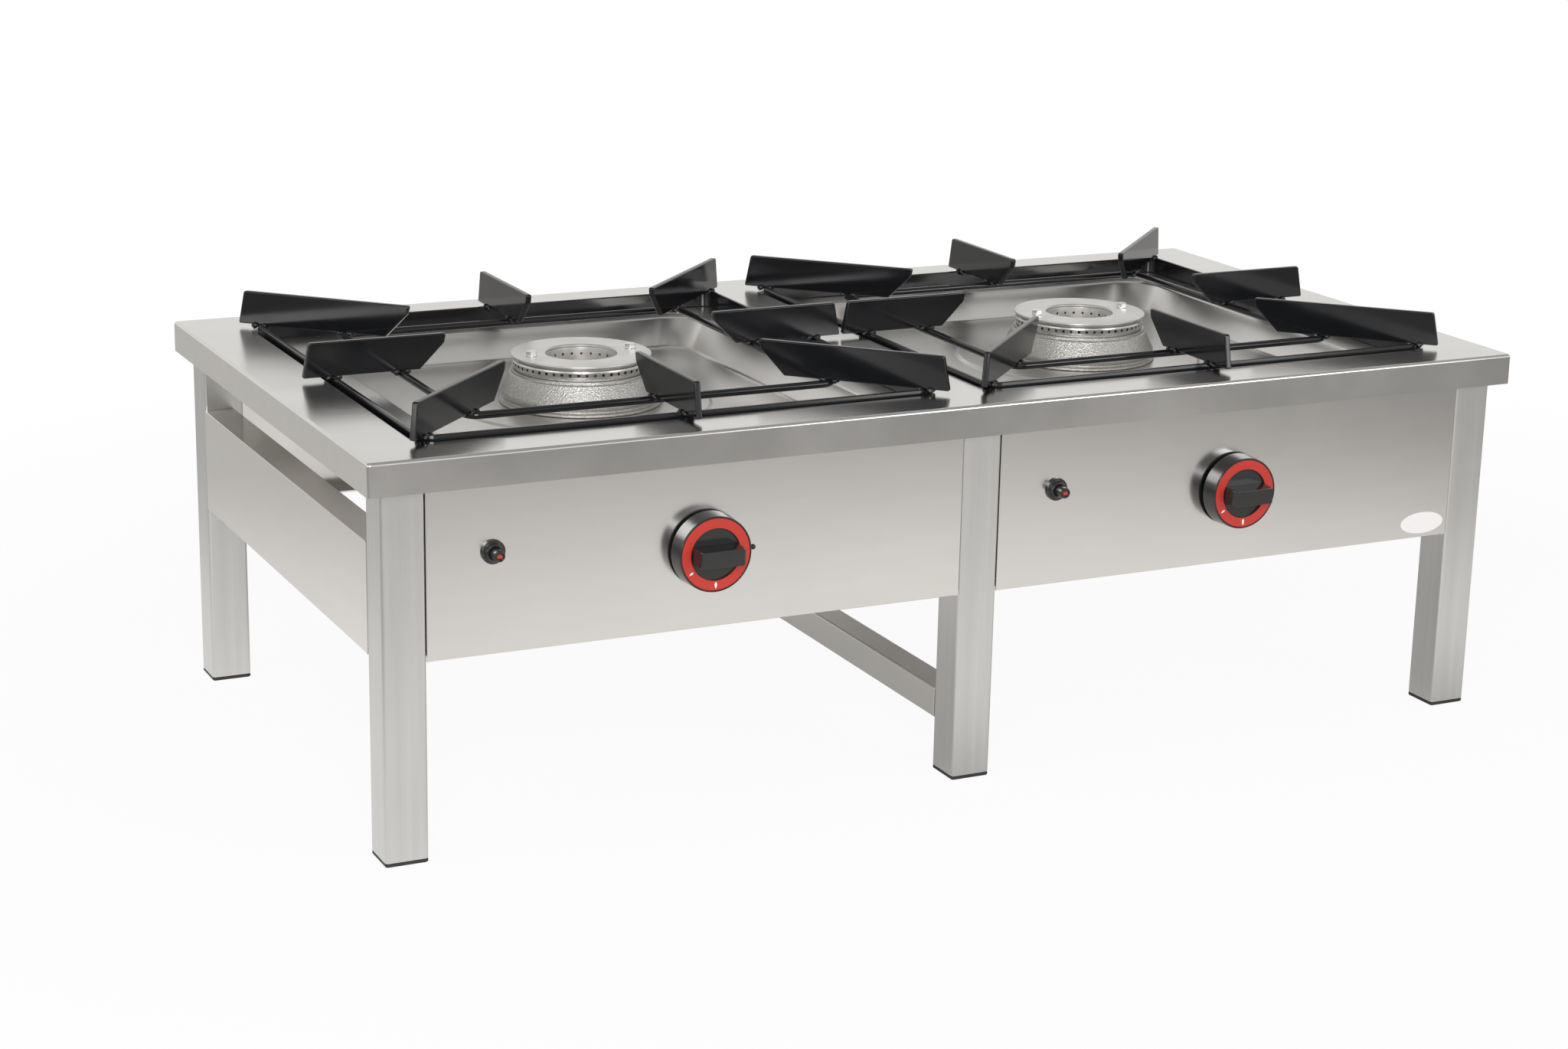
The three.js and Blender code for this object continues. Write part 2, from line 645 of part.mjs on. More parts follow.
// Ring with a flame port in the middle of each of its flats.
function portRing(name) {
  const portZ = RING_Z + RING_HEIGHT / 2;
  let body = solid(turned([
    [RING_INNER, RING_Z], [RING_OUTER, RING_Z], [RING_OUTER, RING_TOP], [RING_INNER, RING_TOP],
  ], PORT_COUNT));
  const reach = [RING_INNER - 2 * PAST, RING_OUTER + PAST];
  for (let i = 0; i < PORT_COUNT; i += 1) {
    const port = cylinder(PORT_RADIUS, ...reach, 4).rotateX(-Math.PI / 2);
    port.rotateZ((i + 0.5) * 2 * Math.PI / PORT_COUNT).translate(0, 0, portZ);
    body = body.subtract(solid(port));
  }
  return meshOf(name, body, 'machined');
}

function coverPlate(name) {
  let body = solid(turned([
    [COVER_BORE, COVER_Z],
    [RING_INNER, COVER_Z],
    [RING_INNER, RING_TOP + FIT],
    [RING_SEAT, RING_TOP + FIT],
    [RING_SEAT, COVER_Z],
    [COVER_RADIUS, COVER_Z],
    [COVER_RADIUS, COVER_TOP],
    [COVER_BORE, COVER_TOP],
  ], 24));
  for (const x of [-BOLT_OFFSET, BOLT_OFFSET]) {
    const hole = cylinder(BOLT_RADIUS + FIT, COVER_Z - PAST, COVER_TOP + PAST, 6).translate(x, 0, 0);
    body = body.subtract(solid(hole));
  }
  return meshOf(name, body, 'machined');
}

function coverBolt(name, x) {
  const seat = COVER_TOP + FIT;
  const shank = solid(cylinder(BOLT_RADIUS, seat - BOLT_LENGTH, seat + PAST, 6));
  const head = solid(cylinder(BOLT_HEAD_RADIUS, seat, seat + BOLT_HEAD_HEIGHT, 6));
  const mesh = meshOf(name, shank.add(head), 'zinc');
  mesh.position.x = x;
  return mesh;
}

// ---------------------------------------------------------------- gas path of one burner

// Elbow under the burner, straight mixing tube and air drum that holds the injector.
function mixingTube(name) {
  const top = PLATEAU_UNDER - FIT;
  const outer = SPIGOT_RADIUS + MIXER_WALL;
  const route = (endY, topZ) => [
    [0, -INLET_OFFSET, topZ], [0, -INLET_OFFSET, MIXER_Z], [0, endY, MIXER_Z],
  ];
  const pipeEnd = -MIXER_FRONT - 2 * PAST;
  const pipe = solid(rodThrough(route(pipeEnd, top), MIXER_BEND, MIXER_BORE + MIXER_WALL, 10, 3));
  const flow = solid(rodThrough(route(pipeEnd - 2 * PAST, top + PAST), MIXER_BEND, MIXER_BORE, 8, 3));
  const socketFoot = BURNER_Z - SPIGOT_DROP - FIT;
  const collar = solid(cylinder(outer, socketFoot - MIXER_WALL, top, 20)
    .translate(0, -INLET_OFFSET, 0));
  const socket = solid(cylinder(SPIGOT_RADIUS + FIT, socketFoot, top + PAST, 20)
    .translate(0, -INLET_OFFSET, 0));
  const drum = solid(cylinderAlongY(DRUM_RADIUS, DRUM_Y, -MIXER_FRONT, MIXER_Z, 16));
  const insideY = [DRUM_Y + DRUM_WALL, -MIXER_FRONT - DRUM_WALL];
  const air = solid(cylinderAlongY(DRUM_RADIUS - DRUM_WALL, ...insideY, MIXER_Z, 16));
  const nozzleY = [DRUM_Y - PAST, DRUM_Y + DRUM_WALL + PAST];
  const nozzleHole = solid(cylinderAlongY(INJECTOR_RADIUS + FIT, ...nozzleY, MIXER_Z, 10));
  const middle = DRUM_Y + DRUM_LENGTH / 2;
  const windows = box(
    [-DRUM_RADIUS - PAST, DRUM_RADIUS + PAST],
    [middle - AIR_WINDOW / 2, middle + AIR_WINDOW / 2],
    [MIXER_Z - AIR_WINDOW / 2, MIXER_Z + AIR_WINDOW / 2],
  );
  const shell = join(pipe, collar, drum);
  return meshOf(name, cut(shell, air, flow, socket, nozzleHole, windows), 'casting');
}

function injector(name) {
  const back = DRUM_Y - FIT;
  const nozzle = solid(turned([
    [0, 0],
    [INJECTOR_RADIUS, 0],
    [INJECTOR_RADIUS, INJECTOR_REACH - INJECTOR_CONE],
    [INJECTOR_TIP_RADIUS, INJECTOR_REACH],
    [0, INJECTOR_REACH],
  ], 10).rotateX(-Math.PI / 2).translate(0, back - PAST, MIXER_Z));
  const hex = solid(cylinderAlongY(INJECTOR_HEX, back - INJECTOR_HEX_LENGTH, back, MIXER_Z, 6));
  return meshOf(name, nozzle.add(hex), 'brass');
}

function supplyPipe(name) {
  const start = DRUM_Y - 2 * FIT - INJECTOR_HEX_LENGTH;
  const portTop = TAP_HEIGHT + TAP_PORT_REACH + FIT;
  const pipe = rodThrough(
    [[0, start, MIXER_Z], [0, TAP_PORT_Y, MIXER_Z], [0, TAP_PORT_Y, portTop]],
    SUPPLY_BEND, SUPPLY_RADIUS, 8,
  );
  return meshOf(name, solid(pipe), 'steelPipe');
}

function gasTap(name) {
  const nose = solid(cylinderAlongY(TAP_NOSE_RADIUS, TAP_Y, TAP_Y + TAP_FRONT + PAST, TAP_HEIGHT, 14));
  const barrel = solid(cylinderAlongY(TAP_RADIUS, TAP_Y + TAP_FRONT, TAP_REAR, TAP_HEIGHT, 16));
  const outlet = solid(cylinder(TAP_PORT_RADIUS, TAP_HEIGHT, TAP_HEIGHT + TAP_PORT_REACH, 12)
    .translate(0, TAP_PORT_Y, 0));
  const inlet = solid(cylinderAlongY(TAP_NOSE_RADIUS, TAP_REAR - PAST, RAIL_Y, TAP_HEIGHT, 14));
  const boreY = [TAP_Y - PAST, -FACE_Y + SPINDLE_SOCKET + FIT];
  const bore = solid(cylinderAlongY(SPINDLE_RADIUS + FIT, ...boreY, TAP_HEIGHT, 12));
  const saddle = solid(cylinder(RAIL_RADIUS + FIT, -TAP_RADIUS, TAP_RADIUS, 20)
    .rotateY(Math.PI / 2).translate(0, RAIL_Y, TAP_HEIGHT));
  return meshOf(name, cut(join(nose, barrel, outlet, inlet), bore, saddle), 'brass');
}

// ---------------------------------------------------------------- pilot, electrode, thermocouple

// Straight stem at (x, 0) that carries on below as a lead along the given corners.
function stemWithLead(x, topZ, radius, lead) {
  const stem = solid(cylinder(radius, STEM_FOOT, topZ, 8).translate(x, 0, 0));
  const start = [x, 0, STEM_FOOT + LEAD_RADIUS];
  return stem.add(solid(rodThrough([start, ...lead], LEAD_BEND, LEAD_RADIUS, 5, 2)));
}

// Lead from a stem down beside the air drum and forward to the side of the tap.
function leadToTap(x, side) {
  return [
    [x, 0, STEM_FOOT - LEAD_DROP],
    [side * LEAD_SIDE, -LEAD_DROP, STEM_FOOT - 2 * LEAD_DROP],
    [side * LEAD_SIDE, TAP_PORT_Y + LEAD_TURN, STEM_FOOT - 3 * LEAD_DROP],
    [side * LEAD_SIDE, TAP_PORT_Y, TAP_HEIGHT],
    [side * (TAP_RADIUS + FIT), TAP_PORT_Y, TAP_HEIGHT],
  ];
}

const STRIP_TOP = PLATEAU_UNDER - FIT;
const STEM_FOOT = STRIP_TOP - PILOT_STRIP_SHEET - LEAD_DROP;

function pilotBurner(name) {
  const stem = stemWithLead(0, STRIP_TOP + PILOT_RISE, PILOT_RADIUS, leadToTap(0, -1));
  const hoodZ = STRIP_TOP + PILOT_RISE - PILOT_HOOD_DROP;
  const hoodTop = hoodZ + PILOT_HOOD_HEIGHT;
  const hood = solid(turned([
    [0, hoodZ],
    [PILOT_HOOD_RADIUS, hoodZ],
    [PILOT_HOOD_RADIUS, hoodTop - 3],
    [PILOT_HOOD_RADIUS - 2, hoodTop],
    [0, hoodTop],
  ], 10));
  const strip = box(
    [-PILOT_STRIP_LENGTH / 2, PILOT_STRIP_LENGTH / 2],
    [-PILOT_STRIP_WIDTH / 2, PILOT_STRIP_WIDTH / 2],
    [STRIP_TOP - PILOT_STRIP_SHEET, STRIP_TOP],
  );
  const through = [STRIP_TOP - PILOT_STRIP_SHEET - PAST, STRIP_TOP + PAST];
  const holeFor = (x, radius) => solid(cylinder(radius + FIT, ...through, 8).translate(x, 0, 0));
  const drilled = cut(
    strip,
    holeFor(-PILOT_SPREAD, ELECTRODE_RADIUS),
    holeFor(PILOT_SPREAD, THERMOCOUPLE_RADIUS),
  );
  return meshOf(name, join(drilled, stem, hood), 'brass');
}

function collarAt(x) {
  const seat = STRIP_TOP + FIT;
  return solid(cylinder(COLLAR_RADIUS, seat, seat + COLLAR_HEIGHT, 6).translate(x, 0, 0));
}

// Its lead runs to the igniter, at igniterX beside the burner's own centre.
function sparkElectrode(name, igniterX) {
  const x = -PILOT_SPREAD;
  const lead = [
    [x, 0, STEM_FOOT - LEAD_DROP],
    [-LEAD_SIDE, -LEAD_DROP, STEM_FOOT - LEAD_DROP],
    [igniterX, IGNITER_REAR + ELECTRODE_TURN, STEM_FOOT - 2 * LEAD_DROP],
    [igniterX, IGNITER_REAR + LEAD_TURN, IGNITER_HEIGHT],
    [igniterX, IGNITER_REAR + FIT, IGNITER_HEIGHT],
  ];
  const stemTop = STRIP_TOP + ELECTRODE_RISE;
  const stem = stemWithLead(x, stemTop, ELECTRODE_RADIUS, lead);
  const tip = solid(cylinder(ELECTRODE_WIRE, stemTop - PAST, STRIP_TOP + ELECTRODE_TIP, 6)
    .translate(x, 0, 0));
  return meshOf(name, join(stem, tip, collarAt(x)), 'ceramic');
}

function thermocouple(name) {
  const x = PILOT_SPREAD;
  const stem = stemWithLead(x, STRIP_TOP + THERMOCOUPLE_RISE, THERMOCOUPLE_RADIUS, leadToTap(x, 1));
  return meshOf(name, join(stem, collarAt(x)), 'steelPipe');
}

// ---------------------------------------------------------------- controls

// Round bar with a flat on top, its axis along Y.
function flattedBar(radius, flat, y0, y1) {
  const start = Math.asin(flat / radius);
  const shape = new THREE.Shape();
  shape.absarc(0, 0, radius, Math.PI - start, 2 * Math.PI + start, false);
  shape.closePath();
  return extruded(shape, y1 - y0, 7).rotateX(Math.PI / 2).translate(0, y1, TAP_HEIGHT);
}

const BORE_END = KNOB_DEPTH + SPINDLE_RADIUS;
const SPINDLE_REACH = BORE_END - KNOB_TRAVEL - 2 * FIT;

function tapSpindle(name) {
  const bar = flattedBar(SPINDLE_RADIUS, SPINDLE_FLAT, -FACE_Y - SPINDLE_REACH, -FACE_Y + SPINDLE_SOCKET);
  return meshOf(name, solid(bar), 'steelPipe');
}

function controlKnob(name, screwed) {
  const dishFloor = KNOB_DEPTH - KNOB_DISH;
  const dialSeat = KNOB_DEPTH - DIAL_THICKNESS - 2 * FIT;
  const underFace = dishFloor - KNOB_WALL;
  const hubFoot = KNOB_STANDOFF + 2 * FIT;
  const shell = solid(turnedForward([
    [0, dishFloor],
    [DIAL_INNER - FIT, dishFloor],
    [DIAL_INNER - FIT, dialSeat],
    [DIAL_OUTER + FIT, dialSeat],
    [DIAL_OUTER + FIT, KNOB_DEPTH],
    [KNOB_FACE_RADIUS - KNOB_EDGE, KNOB_DEPTH],
    [KNOB_FACE_RADIUS, KNOB_DEPTH - KNOB_EDGE],
    [KNOB_BASE_RADIUS, KNOB_STANDOFF],
    [KNOB_BASE_RADIUS - KNOB_WALL, KNOB_STANDOFF],
    [KNOB_FACE_RADIUS - KNOB_WALL, underFace],
    [KNOB_HUB_RADIUS, underFace],
    [KNOB_HUB_RADIUS, hubFoot],
    [0, hubFoot],
  ], 20).translate(0, 0, TAP_HEIGHT));
  const gripRing = (halfLength, halfWidth, reach) => {
    const outline = roundedOutline(THREE.Shape, halfLength, halfWidth, GRIP_CORNER);
    return outline.extractPoints(1).shape.slice(0, -1).map((p) => [p.x, -FACE_Y - reach, p.y + TAP_HEIGHT]);
  };
  const grip = solid(lofted([
    gripRing(GRIP_HALF_LENGTH, GRIP_HALF_WIDTH, dishFloor - PAST),
    gripRing(GRIP_TIP_HALF_LENGTH, GRIP_TIP_HALF_WIDTH, GRIP_REACH - GRIP_CORNER),
    gripRing(GRIP_TIP_HALF_LENGTH - GRIP_CORNER, GRIP_TIP_HALF_WIDTH - GRIP_CORNER, GRIP_REACH),
  ]));
  const bore = solid(flattedBar(SPINDLE_RADIUS + FIT, SPINDLE_FLAT + FIT, -FACE_Y - BORE_END, -FACE_Y));
  const solidKnob = shell.add(grip).subtract(bore);
  return meshOf(name, screwed ? solidKnob.subtract(screwShank(FIT)) : solidKnob, 'blackPlastic');
}

const SCREW_Y = -FACE_Y - KNOB_DEPTH + SCREW_DEPTH;

// Shank of the screw that runs through the skirt to the spindle.
function screwShank(grow) {
  const start = SPINDLE_RADIUS + 2 * FIT - grow;
  const shank = cylinder(SCREW_RADIUS + grow, start, SCREW_BALL_REACH, 6);
  return solid(shank.rotateY(Math.PI / 2).translate(0, SCREW_Y, TAP_HEIGHT));
}

function knobScrew(name) {
  const ball = new THREE.SphereGeometry(SCREW_BALL, 8, 5).translate(SCREW_BALL_REACH, SCREW_Y, TAP_HEIGHT);
  return meshOf(name, screwShank(0).add(solid(ball)), 'blackPlastic');
}

function dialRing(name) {
  const face = KNOB_DEPTH - FIT;
  const seat = face - DIAL_THICKNESS;
  const ring = turnedForward([
    [DIAL_INNER, seat], [DIAL_OUTER, seat], [DIAL_OUTER, face], [DIAL_INNER, face],
  ], 20).translate(0, 0, TAP_HEIGHT);
  return meshOf(name, solid(ring), 'redPrint');
}

function igniterBody(name, x) {
  const boreFloor = -(BUTTON_INSIDE + BUTTON_TRAVEL + 2 * FIT);
  const bore = BUTTON_RADIUS + FIT;
  const nutFront = -(PANEL_SHEET + FIT);
  const body = turnedForward([
    [0, boreFloor],
    [bore, boreFloor],
    [bore, IGNITER_NECK],
    [IGNITER_BARREL_RADIUS, IGNITER_NECK],
    [IGNITER_BARREL_RADIUS + IGNITER_EDGE, IGNITER_BEZEL],
    [IGNITER_BEZEL_RADIUS - IGNITER_EDGE, IGNITER_BEZEL],
    [IGNITER_BEZEL_RADIUS, IGNITER_BEZEL - IGNITER_EDGE],
    [IGNITER_BEZEL_RADIUS, FIT],
    [IGNITER_BARREL_RADIUS, FIT],
    [IGNITER_BARREL_RADIUS, nutFront],
    [IGNITER_NUT_RADIUS, nutFront],
    [IGNITER_NUT_RADIUS, nutFront - IGNITER_NUT],
    [IGNITER_BARREL_RADIUS, nutFront - IGNITER_NUT],
    [IGNITER_BARREL_RADIUS, -IGNITER_LENGTH],
    [0, -IGNITER_LENGTH],
  ], 12);
  return meshOf(name, solid(body.translate(x, 0, IGNITER_HEIGHT)), 'blackPlastic');
}

function igniterButton(name, x) {
  const body = turnedForward([
    [0, BUTTON_REACH],
    [BUTTON_RADIUS - IGNITER_EDGE, BUTTON_REACH],
    [BUTTON_RADIUS, BUTTON_REACH - IGNITER_EDGE],
    [BUTTON_RADIUS, -BUTTON_INSIDE],
    [0, -BUTTON_INSIDE],
  ], 12);
  return meshOf(name, solid(body.translate(x, 0, IGNITER_HEIGHT)), 'blackPlastic');
}

// ---------------------------------------------------------------- gas rail and inlet

function gasRail() {
  const end = FACE_Y + INLET_PROUD;
  const corners = (startX, endY) => [
    [startX, RAIL_Y, TAP_HEIGHT], [RAIL_X, RAIL_Y, TAP_HEIGHT], [RAIL_X, endY, TAP_HEIGHT],
  ];
  const outside = solid(rodThrough(corners(RAIL_START, end), RAIL_BEND, RAIL_RADIUS, 12));
  const boreLine = corners(RAIL_START + RAIL_WALL, end + PAST);
  const bore = solid(rodThrough(boreLine, RAIL_BEND, RAIL_RADIUS - RAIL_WALL, 10));
  return meshOf('gas_rail', outside.subtract(bore), 'steelPipe');
}

function gasInlet() {
  const start = FACE_Y + INLET_PROUD + FIT;
  const end = FACE_Y + GRIP_REACH; // stands out as far behind as the knobs do in front
  const nut = solid(cylinderAlongY(INLET_HEX, start, start + INLET_HEX_LENGTH, TAP_HEIGHT, 6));
  const thread = solid(cylinderAlongY(INLET_THREAD, start + PAST, end, TAP_HEIGHT, 20));
  const bore = solid(cylinderAlongY(INLET_BORE, start - PAST, end + PAST, TAP_HEIGHT, 12));
  const mesh = meshOf('gas_inlet', nut.add(thread).subtract(bore), 'brass');
  mesh.position.x = RAIL_X;
  return mesh;
}

// ---------------------------------------------------------------- pan support

function fin({ outer, innerTop, innerBottom }, turn) {
  const bottom = TABLE_HEIGHT + FIN_BOTTOM;
  const top = bottom + FIN_HEIGHT;
  const shape = new THREE.Shape();
  shape.moveTo(innerBottom, bottom);
  shape.lineTo(outer, bottom);
  shape.lineTo(outer - FIN_LEAN, top);
  shape.lineTo(innerTop, top);
  shape.lineTo(innerTop + FIN_INNER_LEAN, top - FIN_INNER_STRAIGHT);
  shape.closePath();
  const plate = extruded(shape, FIN_THICKNESS).rotateX(Math.PI / 2).translate(0, FIN_THICKNESS / 2, 0);
  return solid(plate.rotateZ(turn));
}

function squareFrame(half, corner, section) {
  const outline = roundedOutline(THREE.Shape, half, half, corner);
  const inner = half - section.width;
  outline.holes.push(roundedOutline(THREE.Path, inner, inner, corner - section.width));
  return solid(extruded(outline, section.height, 2).translate(0, 0, section.z));
}

// Closed square of round rod, its centre line at the given half width.
function rodFrame(half, corner, radius, z, sides = 6) {
  const centreLine = squareRing(half, corner, z, 2);
  const rings = centreLine.map(([x, y], i) => {
    const [px, py] = centreLine[(i + centreLine.length - 1) % centreLine.length];
    const [nx, ny] = centreLine[(i + 1) % centreLine.length];
    const out = new THREE.Vector2(ny - py, px - nx).normalize();
    return Array.from({ length: sides }, (_, k) => {
      const angle = 2 * Math.PI * (k + 0.5) / sides;
      const reach = radius * Math.cos(angle);
      return [x + out.x * reach, y + out.y * reach, z + radius * Math.sin(angle)];
    });
  });
  const positions = rings.flat(2);
  const index = [];
  rings.forEach((_, i) => {
    const next = (i + 1) % rings.length;
    for (let k = 0; k < sides; k += 1) {
      const a = i * sides + k;
      const b = i * sides + ((k + 1) % sides);
      const c = next * sides + ((k + 1) % sides);
      const d = next * sides + k;
      index.push(a, b, c, a, c, d);
    }
  });
  const geometry = new THREE.BufferGeometry();
  geometry.setAttribute('position', new THREE.Float32BufferAttribute(positions, 3));
  geometry.setIndex(index);
  return solid(geometry);
}

function panSupport(name) {
  const finBottom = TABLE_HEIGHT + FIN_BOTTOM;
  const barZ = LEDGE_Z + FIT;
  const bar = { width: SUPPORT_BAR, z: barZ, height: finBottom + FIN_WELD - barZ };
  let body = squareFrame(SUPPORT_HALF, SUPPORT_CORNER, bar);
  body = body.add(rodFrame(ROD_HALF, ROD_CORNER, ROD_RADIUS, finBottom + FIN_WELD - ROD_RADIUS));
  for (let i = 0; i < 8; i += 1) {
    body = body.add(fin(i % 2 ? CORNER_FIN : SIDE_FIN, i * Math.PI / 4));
  }
  return meshOf(name, body, 'enamel');
}

// ---------------------------------------------------------------- assembly

const range = new THREE.Group();
range.add(tabletop(), crossTube(), gasRail(), gasInlet());

for (const [row, y] of [['front', -LEG_Y], ['back', LEG_Y]]) {
  for (const [place, x] of [['left', -LEG_X], ['middle', 0], ['right', LEG_X]]) {
    range.add(leg(`leg_${row}_${place}`, x, y), foot(`foot_${row}_${place}`, x, y));
  }
}

for (const [label, side] of [['left', -1], ['right', 1]]) {
  range.add(
    frontPanel(`front_panel_${label}`, side),
    backPanel(`back_panel_${label}`, side),
    sidePanel(`side_panel_${label}`, side),
  );
  const bay = new THREE.Group();
  const igniterX = side * (BAY_X - BURNER_SPACING / 2) + IGNITER_INSET - FRONT_PANEL_WIDTH / 2;
  bay.position.x = side * BURNER_SPACING / 2;
  bay.add(
    burnerBase(`burner_base_${label}`),
    portRing(`burner_port_ring_${label}`),
    coverPlate(`burner_cover_${label}`),
    coverBolt(`burner_bolt_a_${label}`, -BOLT_OFFSET),
    coverBolt(`burner_bolt_b_${label}`, BOLT_OFFSET),
    mixingTube(`mixing_tube_${label}`),
    injector(`injector_${label}`),
    supplyPipe(`supply_pipe_${label}`),
    gasTap(`gas_tap_${label}`),
    pilotBurner(`pilot_burner_${label}`),
    sparkElectrode(`spark_electrode_${label}`, igniterX),
    thermocouple(`thermocouple_${label}`),
    tapSpindle(`tap_spindle_${label}`),
    controlKnob(`knob_${label}`, side < 0),
    dialRing(`dial_ring_${label}`),
    igniterBody(`igniter_body_${label}`, igniterX),
    igniterButton(`igniter_button_${label}`, igniterX),
    panSupport(`pan_support_${label}`),
  );
  if (side < 0) bay.add(knobScrew('knob_screw_left'));
  range.add(bay);
}

export default range;
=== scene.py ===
"""A low two-burner gas stock pot range, dressed for its studio picture.

Builders work in millimetres, as on the drawing; finished meshes are scaled to metres.
"""

import math

import bmesh
import bpy
from mathutils import Matrix, Vector, noise


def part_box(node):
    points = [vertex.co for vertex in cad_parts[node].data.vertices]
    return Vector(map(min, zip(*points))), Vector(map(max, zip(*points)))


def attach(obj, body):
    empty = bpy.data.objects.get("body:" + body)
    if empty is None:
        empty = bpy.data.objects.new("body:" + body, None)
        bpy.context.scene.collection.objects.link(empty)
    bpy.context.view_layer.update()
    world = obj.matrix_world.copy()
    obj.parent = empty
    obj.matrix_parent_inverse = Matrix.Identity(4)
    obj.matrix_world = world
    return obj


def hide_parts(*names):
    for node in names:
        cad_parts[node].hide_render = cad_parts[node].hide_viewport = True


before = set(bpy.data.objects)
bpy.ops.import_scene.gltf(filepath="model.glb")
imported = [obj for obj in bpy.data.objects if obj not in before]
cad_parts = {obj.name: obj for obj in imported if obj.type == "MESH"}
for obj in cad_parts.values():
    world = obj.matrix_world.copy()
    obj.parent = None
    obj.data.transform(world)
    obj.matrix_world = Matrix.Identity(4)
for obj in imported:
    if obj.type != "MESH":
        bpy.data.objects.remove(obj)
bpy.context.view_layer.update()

MM = 0.001

# ---------------------------------------------------------------- drawing sizes, millimetres

FIT = 0.3  # gap where one piece sits in or against another

TABLE_X, TABLE_Y, TABLE_Z = 600, 310, 370  # half width, half depth and height of the steel
SHEET = 2
RIM_FOOT = 340
RIM_BEND = 3
RIM_CORNER = 4
RIM_LEAN, LEAN_SWING, SWING_LENGTH = 0.75, 0.5, 400  # lean of the front rim, and how it wavers
LEAN_START, LEAN_GROWTH = 14, 10  # how far inside the front edge the lean starts, and over what depth it grows

BAYS = (("left", -1), ("right", 1))
BURNER_X = 281
BURNER_OPENING = 31
MIXER_Y, MIXER_HOLE = -57, 19  # where the mixing tube comes up into the burner
FLAT_RADIUS = 96  # plain flat of the raised round, with the openings in it
LEDGE_Z, PLATEAU_Z, WELL_FLOOR_Z = 357, 330, 328
WELL_BEND, WELL_SIDE = 8, 14  # steps round a corner of the well and along a side
WELL_CORNERS = [(180, 22), (194, 30), (210, 35), (254, 18), (256, 18), (264, 26)]  # (half width, corner radius)
BORDER = 20  # width along the table's edges that the press never touched

LEG_X, LEG_Y = 565, 276.5
LEG_HALF, LEG_FOOT, LEG_LENGTH = 20, 3.5, 364.2
CUT_EDGE = 0.3  # how far the cut ends of tube are broken
FACE_Y = 296.5
PANEL_SHEET, PANEL_BEND, PANEL_NOTCH = 1.5, 0.7, 5
PANEL_BOTTOM, SIDE_PANEL_TOP = 185, 287
FRONT_FLANGE, FLANGE = 18, 30

TAP_Z, TAP_HOLE = 259, 7
IGNITER_Z, IGNITER_HOLE = 278, 8.3
IGNITER_X = {"left": -483.7, "right": 81.3}
INLET_X, INLET_HOLE = 520, 14
OVAL_X, OVAL_Z, OVAL_LONG, OVAL_SHORT = 514, 200, 26, 11
SCREW_REACH = 11  # how far in front of the panel the knob's screw lies

SUPPORT_HALF, SUPPORT_CORNER, SUPPORT_BAR = 252, 16, 4
SUPPORT_FOOT = 357.3
ROD_HALF, ROD_CORNER, ROD_RADIUS = 183, 12, 3.6
FIN_FOOT, FIN_TOP, FIN_HALF, FIN_LEAN = 373.8, 407, 3, 6.5
# Each kind of fin: its outer end, its inner end at the top and at the foot; then, for the bar and the rod,
# where along the fin it is welded to them and how far to either side of that the beads lie.
SIDE_FIN = (279.5, 138.5, 165), ((250, 4.6), (183, 5.6))
CORNER_FIN = (372, 183, 209), ((348, 5.2), (253.8, 6.0))
WELD_BEADS = [(3.6, 2.4, 3.0), (3.0, 2.0, 2.6), (3.3, 2.2, 3.2), (2.8, 2.0, 2.4)]

BASE_Z, RING_Z, COVER_Z = 330.3, 364.6, 374.3  # undersides of the burner's base, port ring and cover
BURNER_BORE = 36
BOLT_X = 51.5
CAST_LUMPS, CAST_STEP = 0.04, 1.1  # height of the lumps left by the mould, and the spacing of points there


# ---------------------------------------------------------------- outlines

def fillet(corners, closed=True, steps=4):
    """Rounds a line of (x, y, radius) corners into plain points."""
    points = []
    for i, (x, y, radius) in enumerate(corners):
        at_end = not closed and i in (0, len(corners) - 1)
        if radius == 0 or at_end:
            points.append((x, y))
            continue
        here = Vector((x, y))
        before = (Vector(corners[i - 1][:2]) - here).normalized()
        after = (Vector(corners[(i + 1) % len(corners)][:2]) - here).normalized()
        half = before.angle(after) / 2
        centre = here + (before + after).normalized() * (radius / math.sin(half))
        start = here + before * (radius / math.tan(half)) - centre
        end = here + after * (radius / math.tan(half)) - centre
        points += [tuple(centre + start.slerp(end, step / steps) * radius) for step in range(steps + 1)]
    return points


def full_turn(count):
    """Equal steps round a whole circle, in radians."""
    return [2 * math.pi * i / count for i in range(count)]


def quarter_turn(quarter, steps):
    """Steps from one end of a quarter circle to the other, in radians."""
    return [(quarter + step / steps) * math.pi / 2 for step in range(steps + 1)]


def circle(radius, z, count, centre=(0, 0)):
    return [(centre[0] + radius * math.cos(a), centre[1] + radius * math.sin(a), z) for a in full_turn(count)]


def rounded_square(half, corner, z, side=1):
    """Square ring with rounded corners and `side` steps along each side."""
    arcs = []
    for quarter in range(4):
        lean = (quarter + 0.5) * math.pi / 2
        reach = (half - corner) * math.sqrt(2)
        middle = Vector((reach * math.cos(lean), reach * math.sin(lean)))
        turns = quarter_turn(quarter, WELL_BEND)
        arcs.append([middle + Vector((math.cos(a), math.sin(a))) * corner for a in turns])
    return with_sides(arcs, z, side)


def with_sides(arcs, z, side):
    """Joins four corner arcs with straight sides of `side` steps each."""
    points = []
    for quarter, arc in enumerate(arcs):
        following = Vector(arcs[(quarter + 1) % 4][0])
        last = Vector(arc[-1])
        points += [(x, y, z) for x, y in arc]
        points += [(*last.lerp(following, step / side), z) for step in range(1, side)]
    return points


# ---------------------------------------------------------------- meshes

